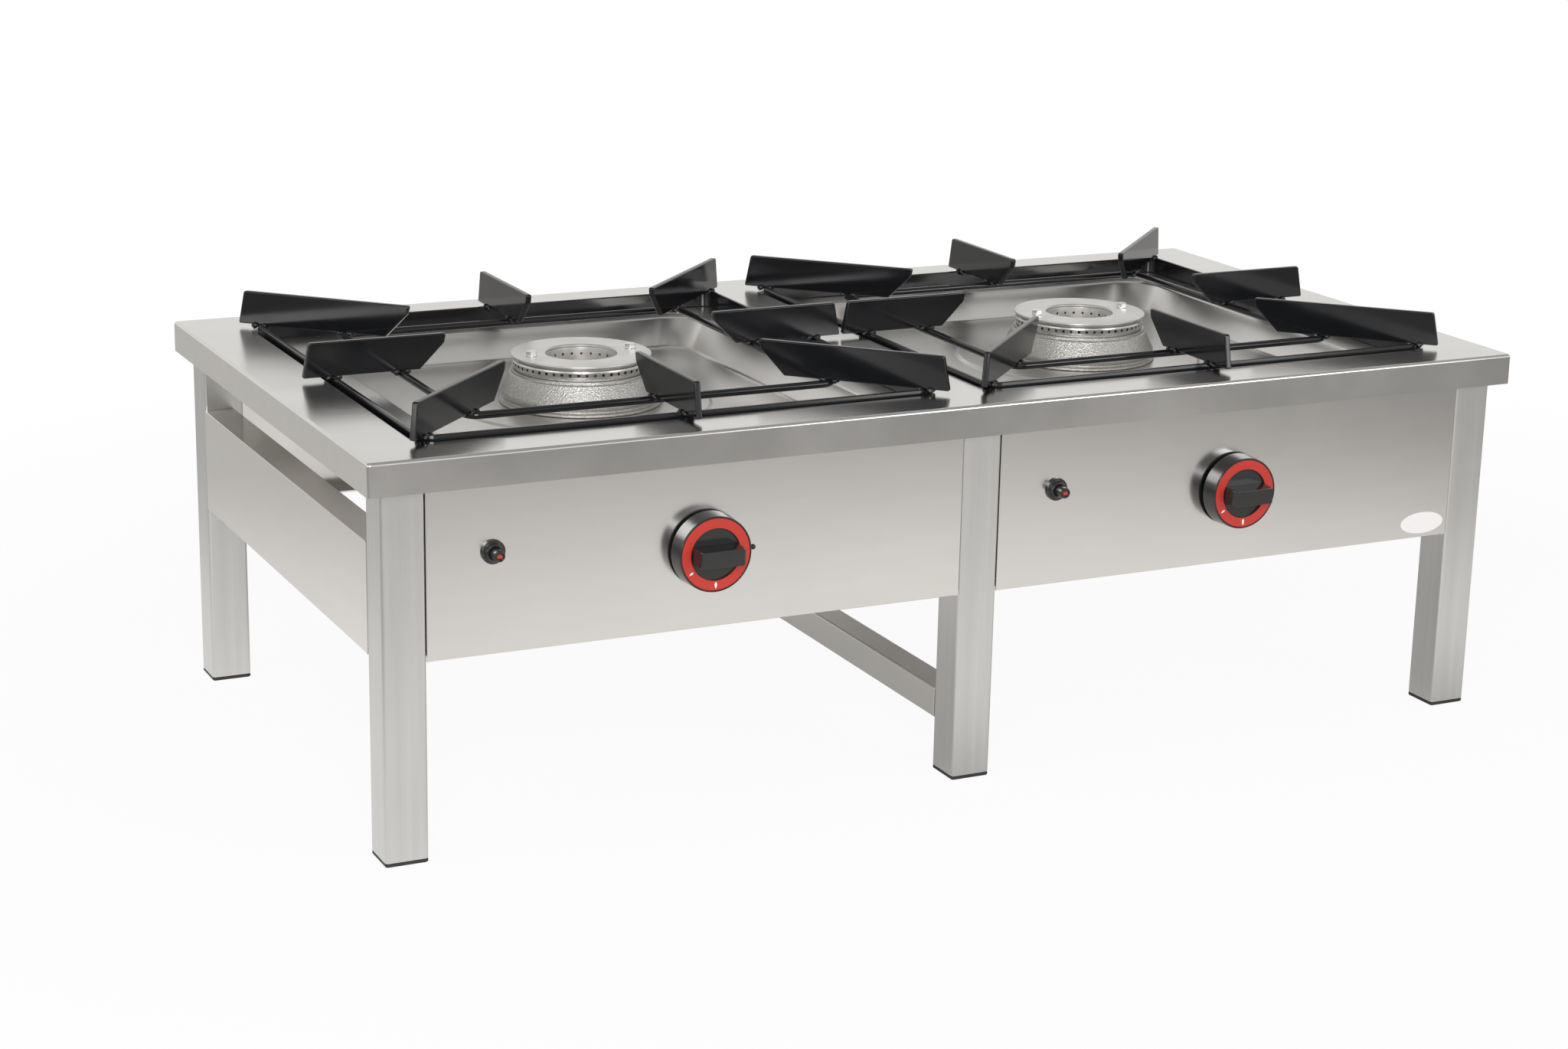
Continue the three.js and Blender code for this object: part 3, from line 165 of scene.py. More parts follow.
def loft(bm, rings, around=True, through=False):
    """Skins neighbouring rings; `around` closes each ring, `through` joins the last to the first."""
    grid = [[bm.verts.new(point) for point in ring] for ring in rings]
    count = len(grid[0])
    following = grid[1:] + grid[:1] if through else grid[1:]
    for near, far in zip(grid, following):
        for i in range(count if around else count - 1):
            j = (i + 1) % count
            bm.faces.new((near[i], near[j], far[j], far[i]))
    return grid


def capped(bm, rings):
    """Skins the rings and closes both ends."""
    grid = loft(bm, rings)
    bm.faces.new(grid[0])
    bm.faces.new(grid[-1])


def weld(bm):
    """Joins points that meet, drops what has no size and turns every face outward."""
    bmesh.ops.remove_doubles(bm, verts=bm.verts, dist=0.004)
    bmesh.ops.dissolve_degenerate(bm, edges=bm.edges, dist=0.001)
    bmesh.ops.recalc_face_normals(bm, faces=bm.faces)


def mesh_of(name, bm, turn=None, facing=None):
    """Welds the work, turns it and scales it to metres. `facing` is where a sheet's widest face looks."""
    weld(bm)
    if facing is not None:
        widest = max(bm.faces, key=lambda face: face.calc_area())
        if widest.normal.dot(Vector(facing)) < 0:
            bmesh.ops.reverse_faces(bm, faces=bm.faces)
    if turn is not None:
        bmesh.ops.transform(bm, matrix=turn, verts=bm.verts)
    bmesh.ops.scale(bm, vec=(MM, MM, MM), verts=bm.verts)
    mesh = bpy.data.meshes.new(name)
    bm.to_mesh(mesh)
    bm.free()
    return mesh


def lathe(name, profile, count, turn=None):
    """Turned piece from a (radius, z) profile that closes on itself, or starts and ends on the axis."""
    bm = bmesh.new()
    loft(bm, [circle(radius, z, count) for radius, z in profile], through=profile[0][0] > 0)
    return mesh_of(name, bm, turn)


def combined(name, first, *steps):
    """Joins or cuts closed meshes in turn; each step is (operation, mesh)."""
    scratch = [bpy.data.objects.new(name, first)]
    for operation, mesh in steps:
        tool = bpy.data.objects.new(name, mesh)
        modifier = scratch[0].modifiers.new(operation, "BOOLEAN")
        modifier.operation = operation
        modifier.solver = "MANIFOLD"
        modifier.object = tool
        scratch.append(tool)
    for item in scratch:
        bpy.context.scene.collection.objects.link(item)
    bpy.context.view_layer.update()
    evaluated = scratch[0].evaluated_get(bpy.context.evaluated_depsgraph_get())
    result = bpy.data.meshes.new_from_object(evaluated)
    for item in scratch:
        bpy.data.objects.remove(item)
    result.name = name
    return result


def crease(mesh, degrees):
    """Smooth faces, with a hard edge wherever they meet at more than this angle or the sheet ends."""
    bm = bmesh.new()
    bm.from_mesh(mesh)
    for face in bm.faces:
        face.smooth = True
        face.material_index = 0
    for edge in bm.edges:
        edge.smooth = len(edge.link_faces) == 2 and edge.calc_face_angle() < math.radians(degrees)
    bm.to_mesh(mesh)
    bm.free()


def piece(name, mesh, finish, body, stands_for=(), at=(0, 0, 0), turn=0, edges=35, sheet=0):
    """Places a mesh on its body. `sheet` thickens a surface to that many millimetres."""
    crease(mesh, edges)
    mesh.materials.clear()
    mesh.materials.append(finish)
    item = bpy.data.objects.new(name, mesh)
    bpy.context.scene.collection.objects.link(item)
    item.location = Vector(at) * MM
    item.rotation_euler.z = turn
    if sheet:
        thick = item.modifiers.new("sheet", "SOLIDIFY")
        thick.thickness = sheet * MM
        thick.offset = -1
        thick.use_even_offset = True
    item.modifiers.new("shading", "WEIGHTED_NORMAL").keep_sharp = True
    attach(item, body)
    if stands_for:
        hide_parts(*stands_for)


FORWARD = Matrix.Rotation(math.pi / 2, 4, "X")  # from an axis along Z to one that faces the cook


# ---------------------------------------------------------------- nodes

def add(tree, kind, feeds=None, **settings):
    """Adds a node. `feeds` gives each named input a value or the output that drives it."""
    made = tree.nodes.new("ShaderNode" + kind)
    for name, value in settings.items():
        setattr(made, name, value)
    for socket, source in (feeds or {}).items():
        if isinstance(source, bpy.types.NodeSocket):
            tree.links.new(source, made.inputs[socket])
        else:
            made.inputs[socket].default_value = source
    return made


def work_out(tree, operation, *values):
    """Result of a Math node."""
    return add(tree, "Math", dict(enumerate(values)), operation=operation).outputs[0]


def vector_result(tree, operation, *values):
    """Result of a Vector Math node."""
    made = add(tree, "VectorMath", dict(enumerate(values)), operation=operation)
    return made.outputs["Value" if operation == "LENGTH" else "Vector"]


def ramp(tree, value, start, end, low=0.0, high=1.0, **settings):
    """Runs from low to high while the value runs from start to end."""
    return add(tree, "MapRange", {
        "Value": value, "From Min": start, "From Max": end, "To Min": low, "To Max": high,
    }, **settings).outputs[0]


def from_axis(tree, place):
    """Distance from the piece's own upright axis."""
    return vector_result(tree, "LENGTH", vector_result(tree, "MULTIPLY", place, (1.0, 1.0, 0.0)))


def blend(tree, mask, dark, light):
    """Colour that runs from dark to light with the mask."""
    ends = [(*shade, 1) if isinstance(shade, tuple) else shade for shade in (dark, light)]
    return add(tree, "Mix", {0: mask, 6: ends[0], 7: ends[1]}, data_type="RGBA").outputs[2]


def mix_shaders(tree, share, first, second):
    return add(tree, "MixShader", {0: share, 1: first, 2: second}).outputs[0]


def new_group(name, inputs, output):
    """Empty node group with named inputs and one output; returns it with the sockets to work between."""
    group = bpy.data.node_groups.new(name, "ShaderNodeTree")
    for label, value in inputs.items():
        kind = "NodeSocketVector" if isinstance(value, tuple) else "NodeSocketFloat"
        group.interface.new_socket(label, in_out="INPUT", socket_type=kind).default_value = value
    group.interface.new_socket(output, in_out="OUTPUT", socket_type="NodeSocketFloat")
    return group, group.nodes.new("NodeGroupInput").outputs, group.nodes.new("NodeGroupOutput").inputs


def place_group(tree, group, place, **values):
    """Result of a shared group at the piece's own coordinates."""
    return add(tree, "Group", {"Place": place, **values}, node_tree=group).outputs[0]


def grain_group():
    """Fine texture, drawn out along one direction by Stretch."""
    group, given, result = new_group("drawn grain", {
        "Place": (0.0, 0.0, 0.0), "Stretch": (1.0, 1.0, 1.0), "Fineness": 500.0, "Detail": 3.0,
    }, "Height")
    stretched = vector_result(group, "MULTIPLY", given["Place"], given["Stretch"])
    texture = add(group, "TexNoise", {
        "Vector": stretched, "Scale": given["Fineness"], "Detail": given["Detail"], "Roughness": 0.6,
    })
    group.links.new(texture.outputs[0], result["Height"])
    return group


def handling_group():
    """Roughness that drifts a little, as on a surface that has been wiped and handled."""
    group, given, result = new_group(
        "handling marks", {"Place": (0.0, 0.0, 0.0), "Size": 9.0, "Low": 0.2, "High": 0.3}, "Roughness"
    )
    texture = add(group, "TexNoise", {
        "Vector": given["Place"], "Scale": given["Size"], "Detail": 5.0, "Roughness": 0.62,
    })
    drift = ramp(group, texture.outputs[0], 0.3, 0.7, given["Low"], given["High"])
    group.links.new(drift, result["Roughness"])
    return group


def lathe_marks_group():
    """Concentric tool marks round the piece's own axis."""
    group, given, result = new_group("lathe marks", {"Place": (0.0, 0.0, 0.0), "Fineness": 900.0}, "Height")
    texture = add(group, "TexNoise", {
        "W": from_axis(group, given["Place"]), "Scale": given["Fineness"], "Detail": 2.0,
    }, noise_dimensions="1D")
    group.links.new(texture.outputs[0], result["Height"])
    return group


def cast_skin_group():
    """Pebbled skin left by a sand mould."""
    group, given, result = new_group("cast skin", {"Place": (0.0, 0.0, 0.0), "Fineness": 650.0}, "Height")
    pebbles = add(group, "TexVoronoi", {"Vector": given["Place"], "Scale": given["Fineness"]}, feature="F1")
    grit = add(group, "TexNoise", {"Vector": given["Place"], "Scale": given["Fineness"], "Detail": 3.0})
    both = work_out(group, "MULTIPLY_ADD", pebbles.outputs["Distance"], 0.5, grit.outputs[0])
    group.links.new(both, result["Height"])
    return group


GRAIN = grain_group()
HANDLING = handling_group()
LATHE_MARKS = lathe_marks_group()
CAST_SKIN = cast_skin_group()


def new_finish(name, colour, **constants):
    """Material with its Principled shader and the piece's own coordinates."""
    material = bpy.data.materials.new(name)
    material.use_nodes = True
    tree = material.node_tree
    shader = tree.nodes["Principled BSDF"]
    shader.inputs["Base Color"].default_value = (*colour, 1)
    for socket, value in constants.items():
        shader.inputs[socket.replace("_", " ")].default_value = value
    material.diffuse_color = (*colour, 1)
    return material, tree, shader, add(tree, "TexCoord").outputs["Object"]


def tint(tree, shader, mask, dark, light):
    """Base colour that runs from dark to light with the mask."""
    tree.links.new(blend(tree, mask, dark, light), shader.inputs["Base Color"])


def shades(colour, darker, lighter):
    """A darker and a lighter shade of one colour."""
    return tuple(darker * c for c in colour), tuple(min(lighter * c, 0.95) for c in colour)


def wear(tree, shader, place, size, low, high):
    """Roughness between low and high, in patches of about 1 / size metres."""
    rough = place_group(tree, HANDLING, place, Size=size, Low=low, High=high)
    tree.links.new(rough, shader.inputs["Roughness"])
    return rough


def relief(tree, shader, *layers):
    """Stacks (height, distance in millimetres) layers into the shader's normal."""
    normal = None
    for height, distance in layers:
        feeds = {"Height": height, "Distance": distance * MM, "Strength": 1.0}
        if normal is not None:
            feeds["Normal"] = normal
        normal = add(tree, "Bump", feeds).outputs[0]
    tree.links.new(normal, shader.inputs["Normal"])


def pressed_part(tree, place, height):
    """1 in the wells, below this height and inside the table's border; 0 elsewhere."""
    across, along, up = add(tree, "SeparateXYZ", {0: vector_result(tree, "ABSOLUTE", place)}).outputs
    low = work_out(tree, "LESS_THAN", up, height * MM)
    inside = work_out(tree, "LESS_THAN", along, (TABLE_Y - BORDER) * MM)
    between = work_out(tree, "LESS_THAN", across, (TABLE_X - BORDER) * MM)
    return work_out(tree, "MULTIPLY", work_out(tree, "MULTIPLY", low, inside), between)


def satin_steel(name, stretch, low, high, colour=(0.735, 0.722, 0.702), wave=0.9, grain=0.006, cloudy=0.04,
                pressed_below=None):
    """Stainless steel, finely ground one way, with the slight waviness of folded sheet.

    Below the height `pressed_below` the sheet was drawn in a press, which leaves it less bright.
    """
    dulling = 0.1
    material, tree, shader, place = new_finish(name, colour, Metallic=1.0)
    rough = wear(tree, shader, place, 7.0, low, high)
    if pressed_below is not None:
        duller = work_out(tree, "MULTIPLY_ADD", pressed_part(tree, place, pressed_below), dulling, rough)
        tree.links.new(duller, shader.inputs["Roughness"])
    lines = place_group(tree, GRAIN, place, Stretch=stretch, Fineness=900.0)
    waves = place_group(tree, GRAIN, place, Fineness=3.2, Detail=0.0)
    relief(tree, shader, (waves, wave), (lines, grain))
    cloud = place_group(tree, GRAIN, place, Stretch=stretch, Fineness=60.0, Detail=5.0)
    tint(tree, shader, cloud, *shades(colour, 1 - cloudy, 1 + cloudy))
    return material


def black_enamel():
    """Fired enamel: deep gloss over a thick, slightly uneven coat."""
    material, tree, shader, place = new_finish("black enamel", (0.0085, 0.009, 0.0105), IOR=1.5)
    wear(tree, shader, place, 14.0, 0.1, 0.14)
    ripple = place_group(tree, GRAIN, place, Fineness=60.0, Detail=1.0)
    relief(tree, shader, (ripple, 0.02))
    tint(tree, shader, ripple, (0.007, 0.0075, 0.009), (0.010, 0.0105, 0.012))
    return material


def rough_casting(name, bore=0):
    """Sand-cast metal. `bore` is the radius of a machined bore round the piece's axis, if it has one."""
    material, tree, shader, place = new_finish(name, (0.45, 0.44, 0.42), Metallic=1.0)
    skin = place_group(tree, CAST_SKIN, place, Fineness=700.0)
    wear(tree, shader, place, 60.0, 0.28, 0.4)
    colour = blend(tree, skin, (0.24, 0.235, 0.22), (0.6, 0.59, 0.56))
    if bore:
        outside = work_out(tree, "GREATER_THAN", from_axis(tree, place), (bore + 1) * MM)
        skin = work_out(tree, "MULTIPLY", skin, outside)
        colour = blend(tree, ramp(tree, skin, 0.0, 0.35), (0.92, 0.92, 0.91), colour)
    relief(tree, shader, (skin, 0.6))
    tree.links.new(colour, shader.inputs["Base Color"])
    return material


def turned_metal(name, colour, low, high, depth=0.008):
    """Metal from the lathe, with tool marks round its axis."""
    material, tree, shader, place = new_finish(name, colour, Metallic=1.0)
    marks = place_group(tree, LATHE_MARKS, place, Fineness=1400.0)
    speckle = place_group(tree, GRAIN, place, Fineness=900.0)
    relief(tree, shader, (marks, depth), (speckle, depth))
    wear(tree, shader, place, 40.0, low, high)
    tint(tree, shader, speckle, *shades(colour, 0.92, 1.06))
    return material


def plain_metal(name, colour, low, high):
    """Drawn, plated or pressed metal with an even, fine grain."""
    material, tree, shader, place = new_finish(name, colour, Metallic=1.0)
    grain = place_group(tree, GRAIN, place, Fineness=500.0)
    relief(tree, shader, (grain, 0.01))
    wear(tree, shader, place, 50.0, low, high)
    tint(tree, shader, grain, *shades(colour, 0.88, 1.08))
    return material


def moulded(name, dark, light, low, high, depth=0.02):
    """Moulded plastic, paint or ceramic with its own fine skin."""
    material, tree, shader, place = new_finish(name, light, IOR=1.5)
    skin = place_group(tree, GRAIN, place, Fineness=420.0)
    relief(tree, shader, (skin, depth))
    wear(tree, shader, place, 45.0, low, high)
    tint(tree, shader, skin, dark, light)
    return material


TABLE_STEEL = satin_steel("table steel", (0.06, 1.0, 1.0), 0.16, 0.24, wave=1.8, grain=0.004,
                          pressed_below=TABLE_Z - 1)
PANEL_STEEL = satin_steel("panel steel", (0.14, 1.0, 1.0), 0.17, 0.22, grain=0.002)
TUBE_STEEL = satin_steel("tube steel", (1.6, 1.6, 0.05), 0.28, 0.38, colour=(0.63, 0.628, 0.622),
                         wave=0.25, grain=0.014, cloudy=0.12)
TIE_STEEL = satin_steel("tie steel", (1.0, 0.04, 1.0), 0.34, 0.46, colour=(0.66, 0.65, 0.63),
                        wave=0.2, grain=0.02)
ENAMEL = black_enamel()
CASTING = rough_casting("rough casting")
BORED_CASTING = rough_casting("bored casting", BURNER_BORE)
MACHINED = turned_metal("turned aluminium", (0.75, 0.745, 0.73), 0.30, 0.44)
RING_METAL = turned_metal("polished port band", (0.74, 0.735, 0.72), 0.16, 0.26, depth=0.004)
ZINC = plain_metal("zinc plate", (0.86, 0.86, 0.86), 0.26, 0.36)
BRASS = plain_metal("brass", (0.72, 0.53, 0.25), 0.24, 0.4)
PIPE_STEEL = plain_metal("pipe steel", (0.42, 0.42, 0.43), 0.34, 0.5)
SKIRT_BLACK = moulded("gloss black plastic", (0.016, 0.0165, 0.017), (0.024, 0.0245, 0.025), 0.10, 0.16,
                      depth=0.002)
BUTTON_BLACK = moulded("satin black plastic", (0.012, 0.012, 0.013), (0.020, 0.020, 0.021), 0.2, 0.3)
DIAL_RED = moulded("dial red", (0.46, 0.026, 0.015), (0.52, 0.035, 0.020), 0.32, 0.42, depth=0.006)
DIAL_WHITE = moulded("dial white", (0.78, 0.76, 0.76), (0.86, 0.84, 0.84), 0.4, 0.5)
CERAMIC = moulded("ceramic", (0.72, 0.70, 0.64), (0.80, 0.78, 0.72), 0.3, 0.45)
FOOT_BLACK = moulded("foot plastic", (0.014, 0.014, 0.015), (0.024, 0.024, 0.026), 0.45, 0.6)


# ---------------------------------------------------------------- table

def half_table_border(out, z):
    """Edge of one half of the table, round its burner's centre; `out` pushes the three outer sides."""
    side_y = TABLE_Y - RIM_BEND + out
    corner = RIM_CORNER - RIM_BEND
    middle_x = -(TABLE_X - BURNER_X) + RIM_CORNER
    middle_y = TABLE_Y - RIM_CORNER
    half = WELL_BEND // 2
    step = 4
    back_joint = [(BURNER_X, side_y - (half - k) * step) for k in range(half)]
    back_joint += [(BURNER_X - k * step, side_y) for k in range(half + 1)]
    arcs = [back_joint]
    for quarter, y in ((1, middle_y), (2, -middle_y)):
        arcs.append([(middle_x + (corner + out) * math.cos(a), y + (corner + out) * math.sin(a))
                     for a in quarter_turn(quarter, WELL_BEND)])
    arcs.append([(x, -y) for x, y in reversed(back_joint)])
    return with_sides(arcs, z, WELL_SIDE)


def well_corner(half):
    """Corner radius of the pressed well at a given half width."""
    for (low, at_low), (high, at_high) in zip(WELL_CORNERS, WELL_CORNERS[1:]):
        if half <= high:
            return at_low + (at_high - at_low) * max(0, half - low) / (high - low)
    return WELL_CORNERS[-1][1]


def fill_flat(bm, z, reach):
    """Fills the flat between the open loops that lie at this height, within reach of the axis."""
    near = {vert for vert in bm.verts if abs(vert.co.z - z) < 0.01 and vert.co.xy.length < reach}
    loops = [edge for edge in bm.edges if len(edge.link_faces) < 2 and near.issuperset(edge.verts)]
    bmesh.ops.triangle_fill(bm, use_beauty=True, edges=loops)


def tabletop_mesh():
    """Upper face of the pressed sheet: rim, flat, stepped well, raised round and its two openings."""
    bm = bmesh.new()
    spread = [math.atan2(y, x) for x, y, _ in rounded_square(194, 30, 0, side=WELL_SIDE)]
    plateau = fillet([
        (FLAT_RADIUS, PLATEAU_Z, 0), (125, PLATEAU_Z, 2), (128, WELL_FLOOR_Z, 2), (134, WELL_FLOOR_Z, 0),
    ], closed=False)
    rings = [[(r * math.cos(a), r * math.sin(a), z) for a in spread] for r, z in plateau]
    well = fillet([
        (184, WELL_FLOOR_Z, 0), (194, WELL_FLOOR_Z, 6), (210, LEDGE_Z, 3),
        (254, LEDGE_Z, 1.5), (256, TABLE_Z, 2.5), (263, TABLE_Z, 0),
    ], closed=False)
    rings += [rounded_square(half, well_corner(half), z, side=WELL_SIDE) for half, z in well]
    rings.append(half_table_border(0, TABLE_Z))
    loft(bm, rings)
    rim = fillet([
        (0, TABLE_Z, 0), (RIM_BEND, TABLE_Z, RIM_BEND - 0.01), (RIM_BEND, RIM_FOOT, 0),
    ], closed=False, steps=6)
    per_quarter = WELL_BEND + WELL_SIDE
    chain = slice(WELL_BEND // 2, 3 * per_quarter + WELL_BEND // 2 + 1)
    loft(bm, [half_table_border(out, z)[chain] for out, z in rim], around=False)
    lip = fillet([
        (BURNER_OPENING + 5, PLATEAU_Z, 0), (BURNER_OPENING, PLATEAU_Z, 2), (BURNER_OPENING, PLATEAU_Z - 3, 0),
    ], closed=False)
    loft(bm, [circle(r, z, 64) for r, z in lip])
    mixer_hole = [bm.verts.new(point) for point in circle(MIXER_HOLE, PLATEAU_Z, 32, centre=(0, MIXER_Y))]
    for i, vert in enumerate(mixer_hole):
        bm.edges.new((vert, mixer_hole[i - 1]))
    weld(bm)
    fill_flat(bm, PLATEAU_Z, FLAT_RADIUS + 0.5)
    bmesh.ops.translate(bm, vec=(-BURNER_X, 0, 0), verts=bm.verts)
    mirrored = bmesh.ops.duplicate(bm, geom=bm.verts[:] + bm.edges[:] + bm.faces[:])["geom"]
    copied = [item for item in mirrored if isinstance(item, bmesh.types.BMVert)]
    bmesh.ops.scale(bm, vec=(-1, 1, 1), verts=copied)
    for vert in bm.verts:
        near_front = min(max((-vert.co.y - TABLE_Y + LEAN_START) / LEAN_GROWTH, 0), 1)
        vert.co.y += near_front * front_rim_lean(vert.co.x) * (vert.co.z - RIM_FOOT) / (TABLE_Z - RIM_FOOT)
    return mesh_of("tabletop", bm, facing=(0, 0, 1))


def front_rim_lean(x):
    """How far the front rim leans back at its top: folded a little open, and uneven on the right half."""
    return RIM_LEAN + LEAN_SWING * math.cos(2 * math.pi * max(x, 0) / SWING_LENGTH)


# ---------------------------------------------------------------- frame of the range

def tube_mesh(name, half, corner, wall, length, turn=None):
    """Square tube standing on z = 0, its cut ends slightly broken."""
    inside = half - wall
    inner_corner = max(corner - wall, 0.5)
    bm = bmesh.new()
    loft(bm, [
        rounded_square(half - CUT_EDGE, corner - CUT_EDGE, 0),
        rounded_square(half, corner, CUT_EDGE),
        rounded_square(half, corner, length - CUT_EDGE),
        rounded_square(half - CUT_EDGE, corner - CUT_EDGE, length),
        rounded_square(inside, inner_corner, length),
        rounded_square(inside, inner_corner, 0),
    ], through=True)
    return mesh_of(name, bm, turn)


def foot_mesh():
    """Plug foot: a cap as wide as the tube, and a plug inside it."""
    bm = bmesh.new()
    cap = [(19.2, 2.2, 0), (20, 3, 0.8), (20, 3, 2.8), (19.6, 2.6, 3.2)]
    plug = [(17.7, 1, 3.2), (17.7, 1, 17), (16.9, 0.6, 18)]
    capped(bm, [rounded_square(half, corner, z) for half, corner, z in cap + plug])
    return mesh_of("plug_foot", bm)


def panel_mesh(name, width, top, flange, holes=()):
    """Folded tray: its face on y = 0 looks forward, four bent flanges run back; holes are (x, z, radius)."""
    half, bend = width / 2, PANEL_BEND
    fold = [(bend - bend * math.sin(a), bend - bend * math.cos(a)) for a in quarter_turn(0, 5)] + [(0, flange)]
    edge, inner = half - bend, half - bend - PANEL_NOTCH
    foot, low, high = PANEL_BOTTOM, PANEL_BOTTOM + PANEL_NOTCH, top - bend
    bm = bmesh.new()
    for side in (-1, 1):
        loft(bm, [[(side * (half - i), y, low), (side * (half - i), y, high)] for i, y in fold], around=False)
    loft(bm, [[(-inner, y, foot + i), (inner, y, foot + i)] for i, y in fold], around=False)
    loft(bm, [[(-edge, y, top - i), (edge, y, top - i)] for i, y in fold], around=False)
    face = [
        (-edge, high), (-edge, low), (-half, low), (-half, foot), (-inner, foot), (-inner, foot + bend),
        (inner, foot + bend), (inner, foot), (half, foot), (half, low), (edge, low), (edge, high),
    ]
    rounds = [[(x + r * math.cos(a), z + r * math.sin(a)) for a in full_turn(32)] for x, z, r in holes]
    edges = []
    for loop in [face] + rounds:
        verts = [bm.verts.new((x, 0, z)) for x, z in loop]
        edges += [bm.edges.new((vert, verts[i - 1])) for i, vert in enumerate(verts)]
    bmesh.ops.triangle_fill(bm, use_beauty=True, edges=edges)
    return mesh_of(name, bm, facing=(0, -1, 0))


# ---------------------------------------------------------------- pan support

def fin_solid(bm, outer, inner_top, inner_foot, turn):
    """Upright fin with rounded corners and softened edges, standing along one ray from the middle."""
    outline = fillet([
        (inner_foot, FIN_FOOT, 1.5), (outer, FIN_FOOT, 1.5), (outer - FIN_LEAN, FIN_TOP, 2.5),
        (inner_top, FIN_TOP, 2), (inner_top + 2, FIN_TOP - 9, 3),
    ], steps=3)
    before = set(bm.verts)
    verts = [bm.verts.new((x, -FIN_HALF, z)) for x, z in outline]
    grown = bmesh.ops.extrude_face_region(bm, geom=[bm.faces.new(verts)])["geom"]
    lifted = [item for item in grown if isinstance(item, bmesh.types.BMVert)]
    bmesh.ops.translate(bm, vec=(0, 2 * FIN_HALF, 0), verts=lifted)
    solid = set(verts + lifted)
    rims = [edge for edge in bm.edges
            if edge.verts[0] in solid and abs(edge.verts[0].co.y - edge.verts[1].co.y) < 0.01]
    bmesh.ops.bevel(bm, geom=rims, offset=1.3, segments=3, affect="EDGES", profile=0.5, clamp_overlap=True)
    made = [vert for vert in bm.verts if vert not in before]
    bmesh.ops.rotate(bm, verts=made, cent=(0, 0, 0), matrix=Matrix.Rotation(turn, 3, "Z"))


def weld_bead(bm, along, side, z, turn, size):
    """Small bead where a fin meets the frame."""
    made = bmesh.ops.create_icosphere(bm, subdivisions=2, radius=1)["verts"]
    bmesh.ops.scale(bm, vec=size, verts=made)
    bmesh.ops.translate(bm, vec=(along, side, z), verts=made)
    bmesh.ops.rotate(bm, verts=made, cent=(0, 0, 0), matrix=Matrix.Rotation(turn, 3, "Z"))


def square_frame_mesh(name, half, corner, section):
    """Closed square frame; the section is a ring of (outward, z) points."""
    bm = bmesh.new()
    loft(bm, [rounded_square(half + out, corner + out, z, side=2) for out, z in section], through=True)
    return mesh_of(name, bm)


def pan_support_mesh():
    """Flat-bar frame, round-rod frame and eight fins, welded and enamelled as one piece."""
    top = FIN_FOOT + 0.6
    bar = fillet([
        (-SUPPORT_BAR, SUPPORT_FOOT, 1), (0, SUPPORT_FOOT, 1), (0, top, 1), (-SUPPORT_BAR, top, 1),
    ], steps=3)
    rod = [(ROD_RADIUS * math.cos(a), top - ROD_RADIUS + ROD_RADIUS * math.sin(a)) for a in full_turn(14)]
    fins = bmesh.new()
    beads = bmesh.new()
    for i in range(8):
        turn = i * math.pi / 4
        reaches, crossings = CORNER_FIN if i % 2 else SIDE_FIN
        fin_solid(fins, *reaches, turn)
        for k, (along, gap) in enumerate(crossings):
            for j, (step, side) in enumerate(((-gap, 1), (gap, 1), (-gap, -1), (gap, -1))):
                size = WELD_BEADS[(i + k + j) % 4]
                height = top - 0.8 - 0.3 * ((i + j) % 3)
                weld_bead(beads, along + step, side * (FIN_HALF + 0.5 * size[1]), height, turn, size)
    return combined(
        "pan_support",
        square_frame_mesh("bar", SUPPORT_HALF, SUPPORT_CORNER, bar),
        ("UNION", square_frame_mesh("rod", ROD_HALF, ROD_CORNER, rod)),
        ("UNION", mesh_of("fins", fins)),
        ("UNION", mesh_of("beads", beads)),
    )


# ---------------------------------------------------------------- burner

def radial_drills(name, count, radius, near, far, z, sides=12):
    """Ring of drill bodies pointing away from the axis."""
    bm = bmesh.new()
    for i in range(count):
        turn = Matrix.Rotation((i + 0.5) * 2 * math.pi / count, 4, "Z")
        capped(bm, [
            [turn @ Vector((reach, x, z + y)) for x, y, _ in circle(radius, 0, sides)] for reach in (near, far)
        ])
    return mesh_of(name, bm)


def post(radius, low, high, centre=(0, 0), count=32):
    """Closed round post, for joining to a casting or boring through it."""
    bm = bmesh.new()
    capped(bm, [circle(radius, low, count, centre), circle(radius, high, count, centre)])
    return mesh_of("post", bm)


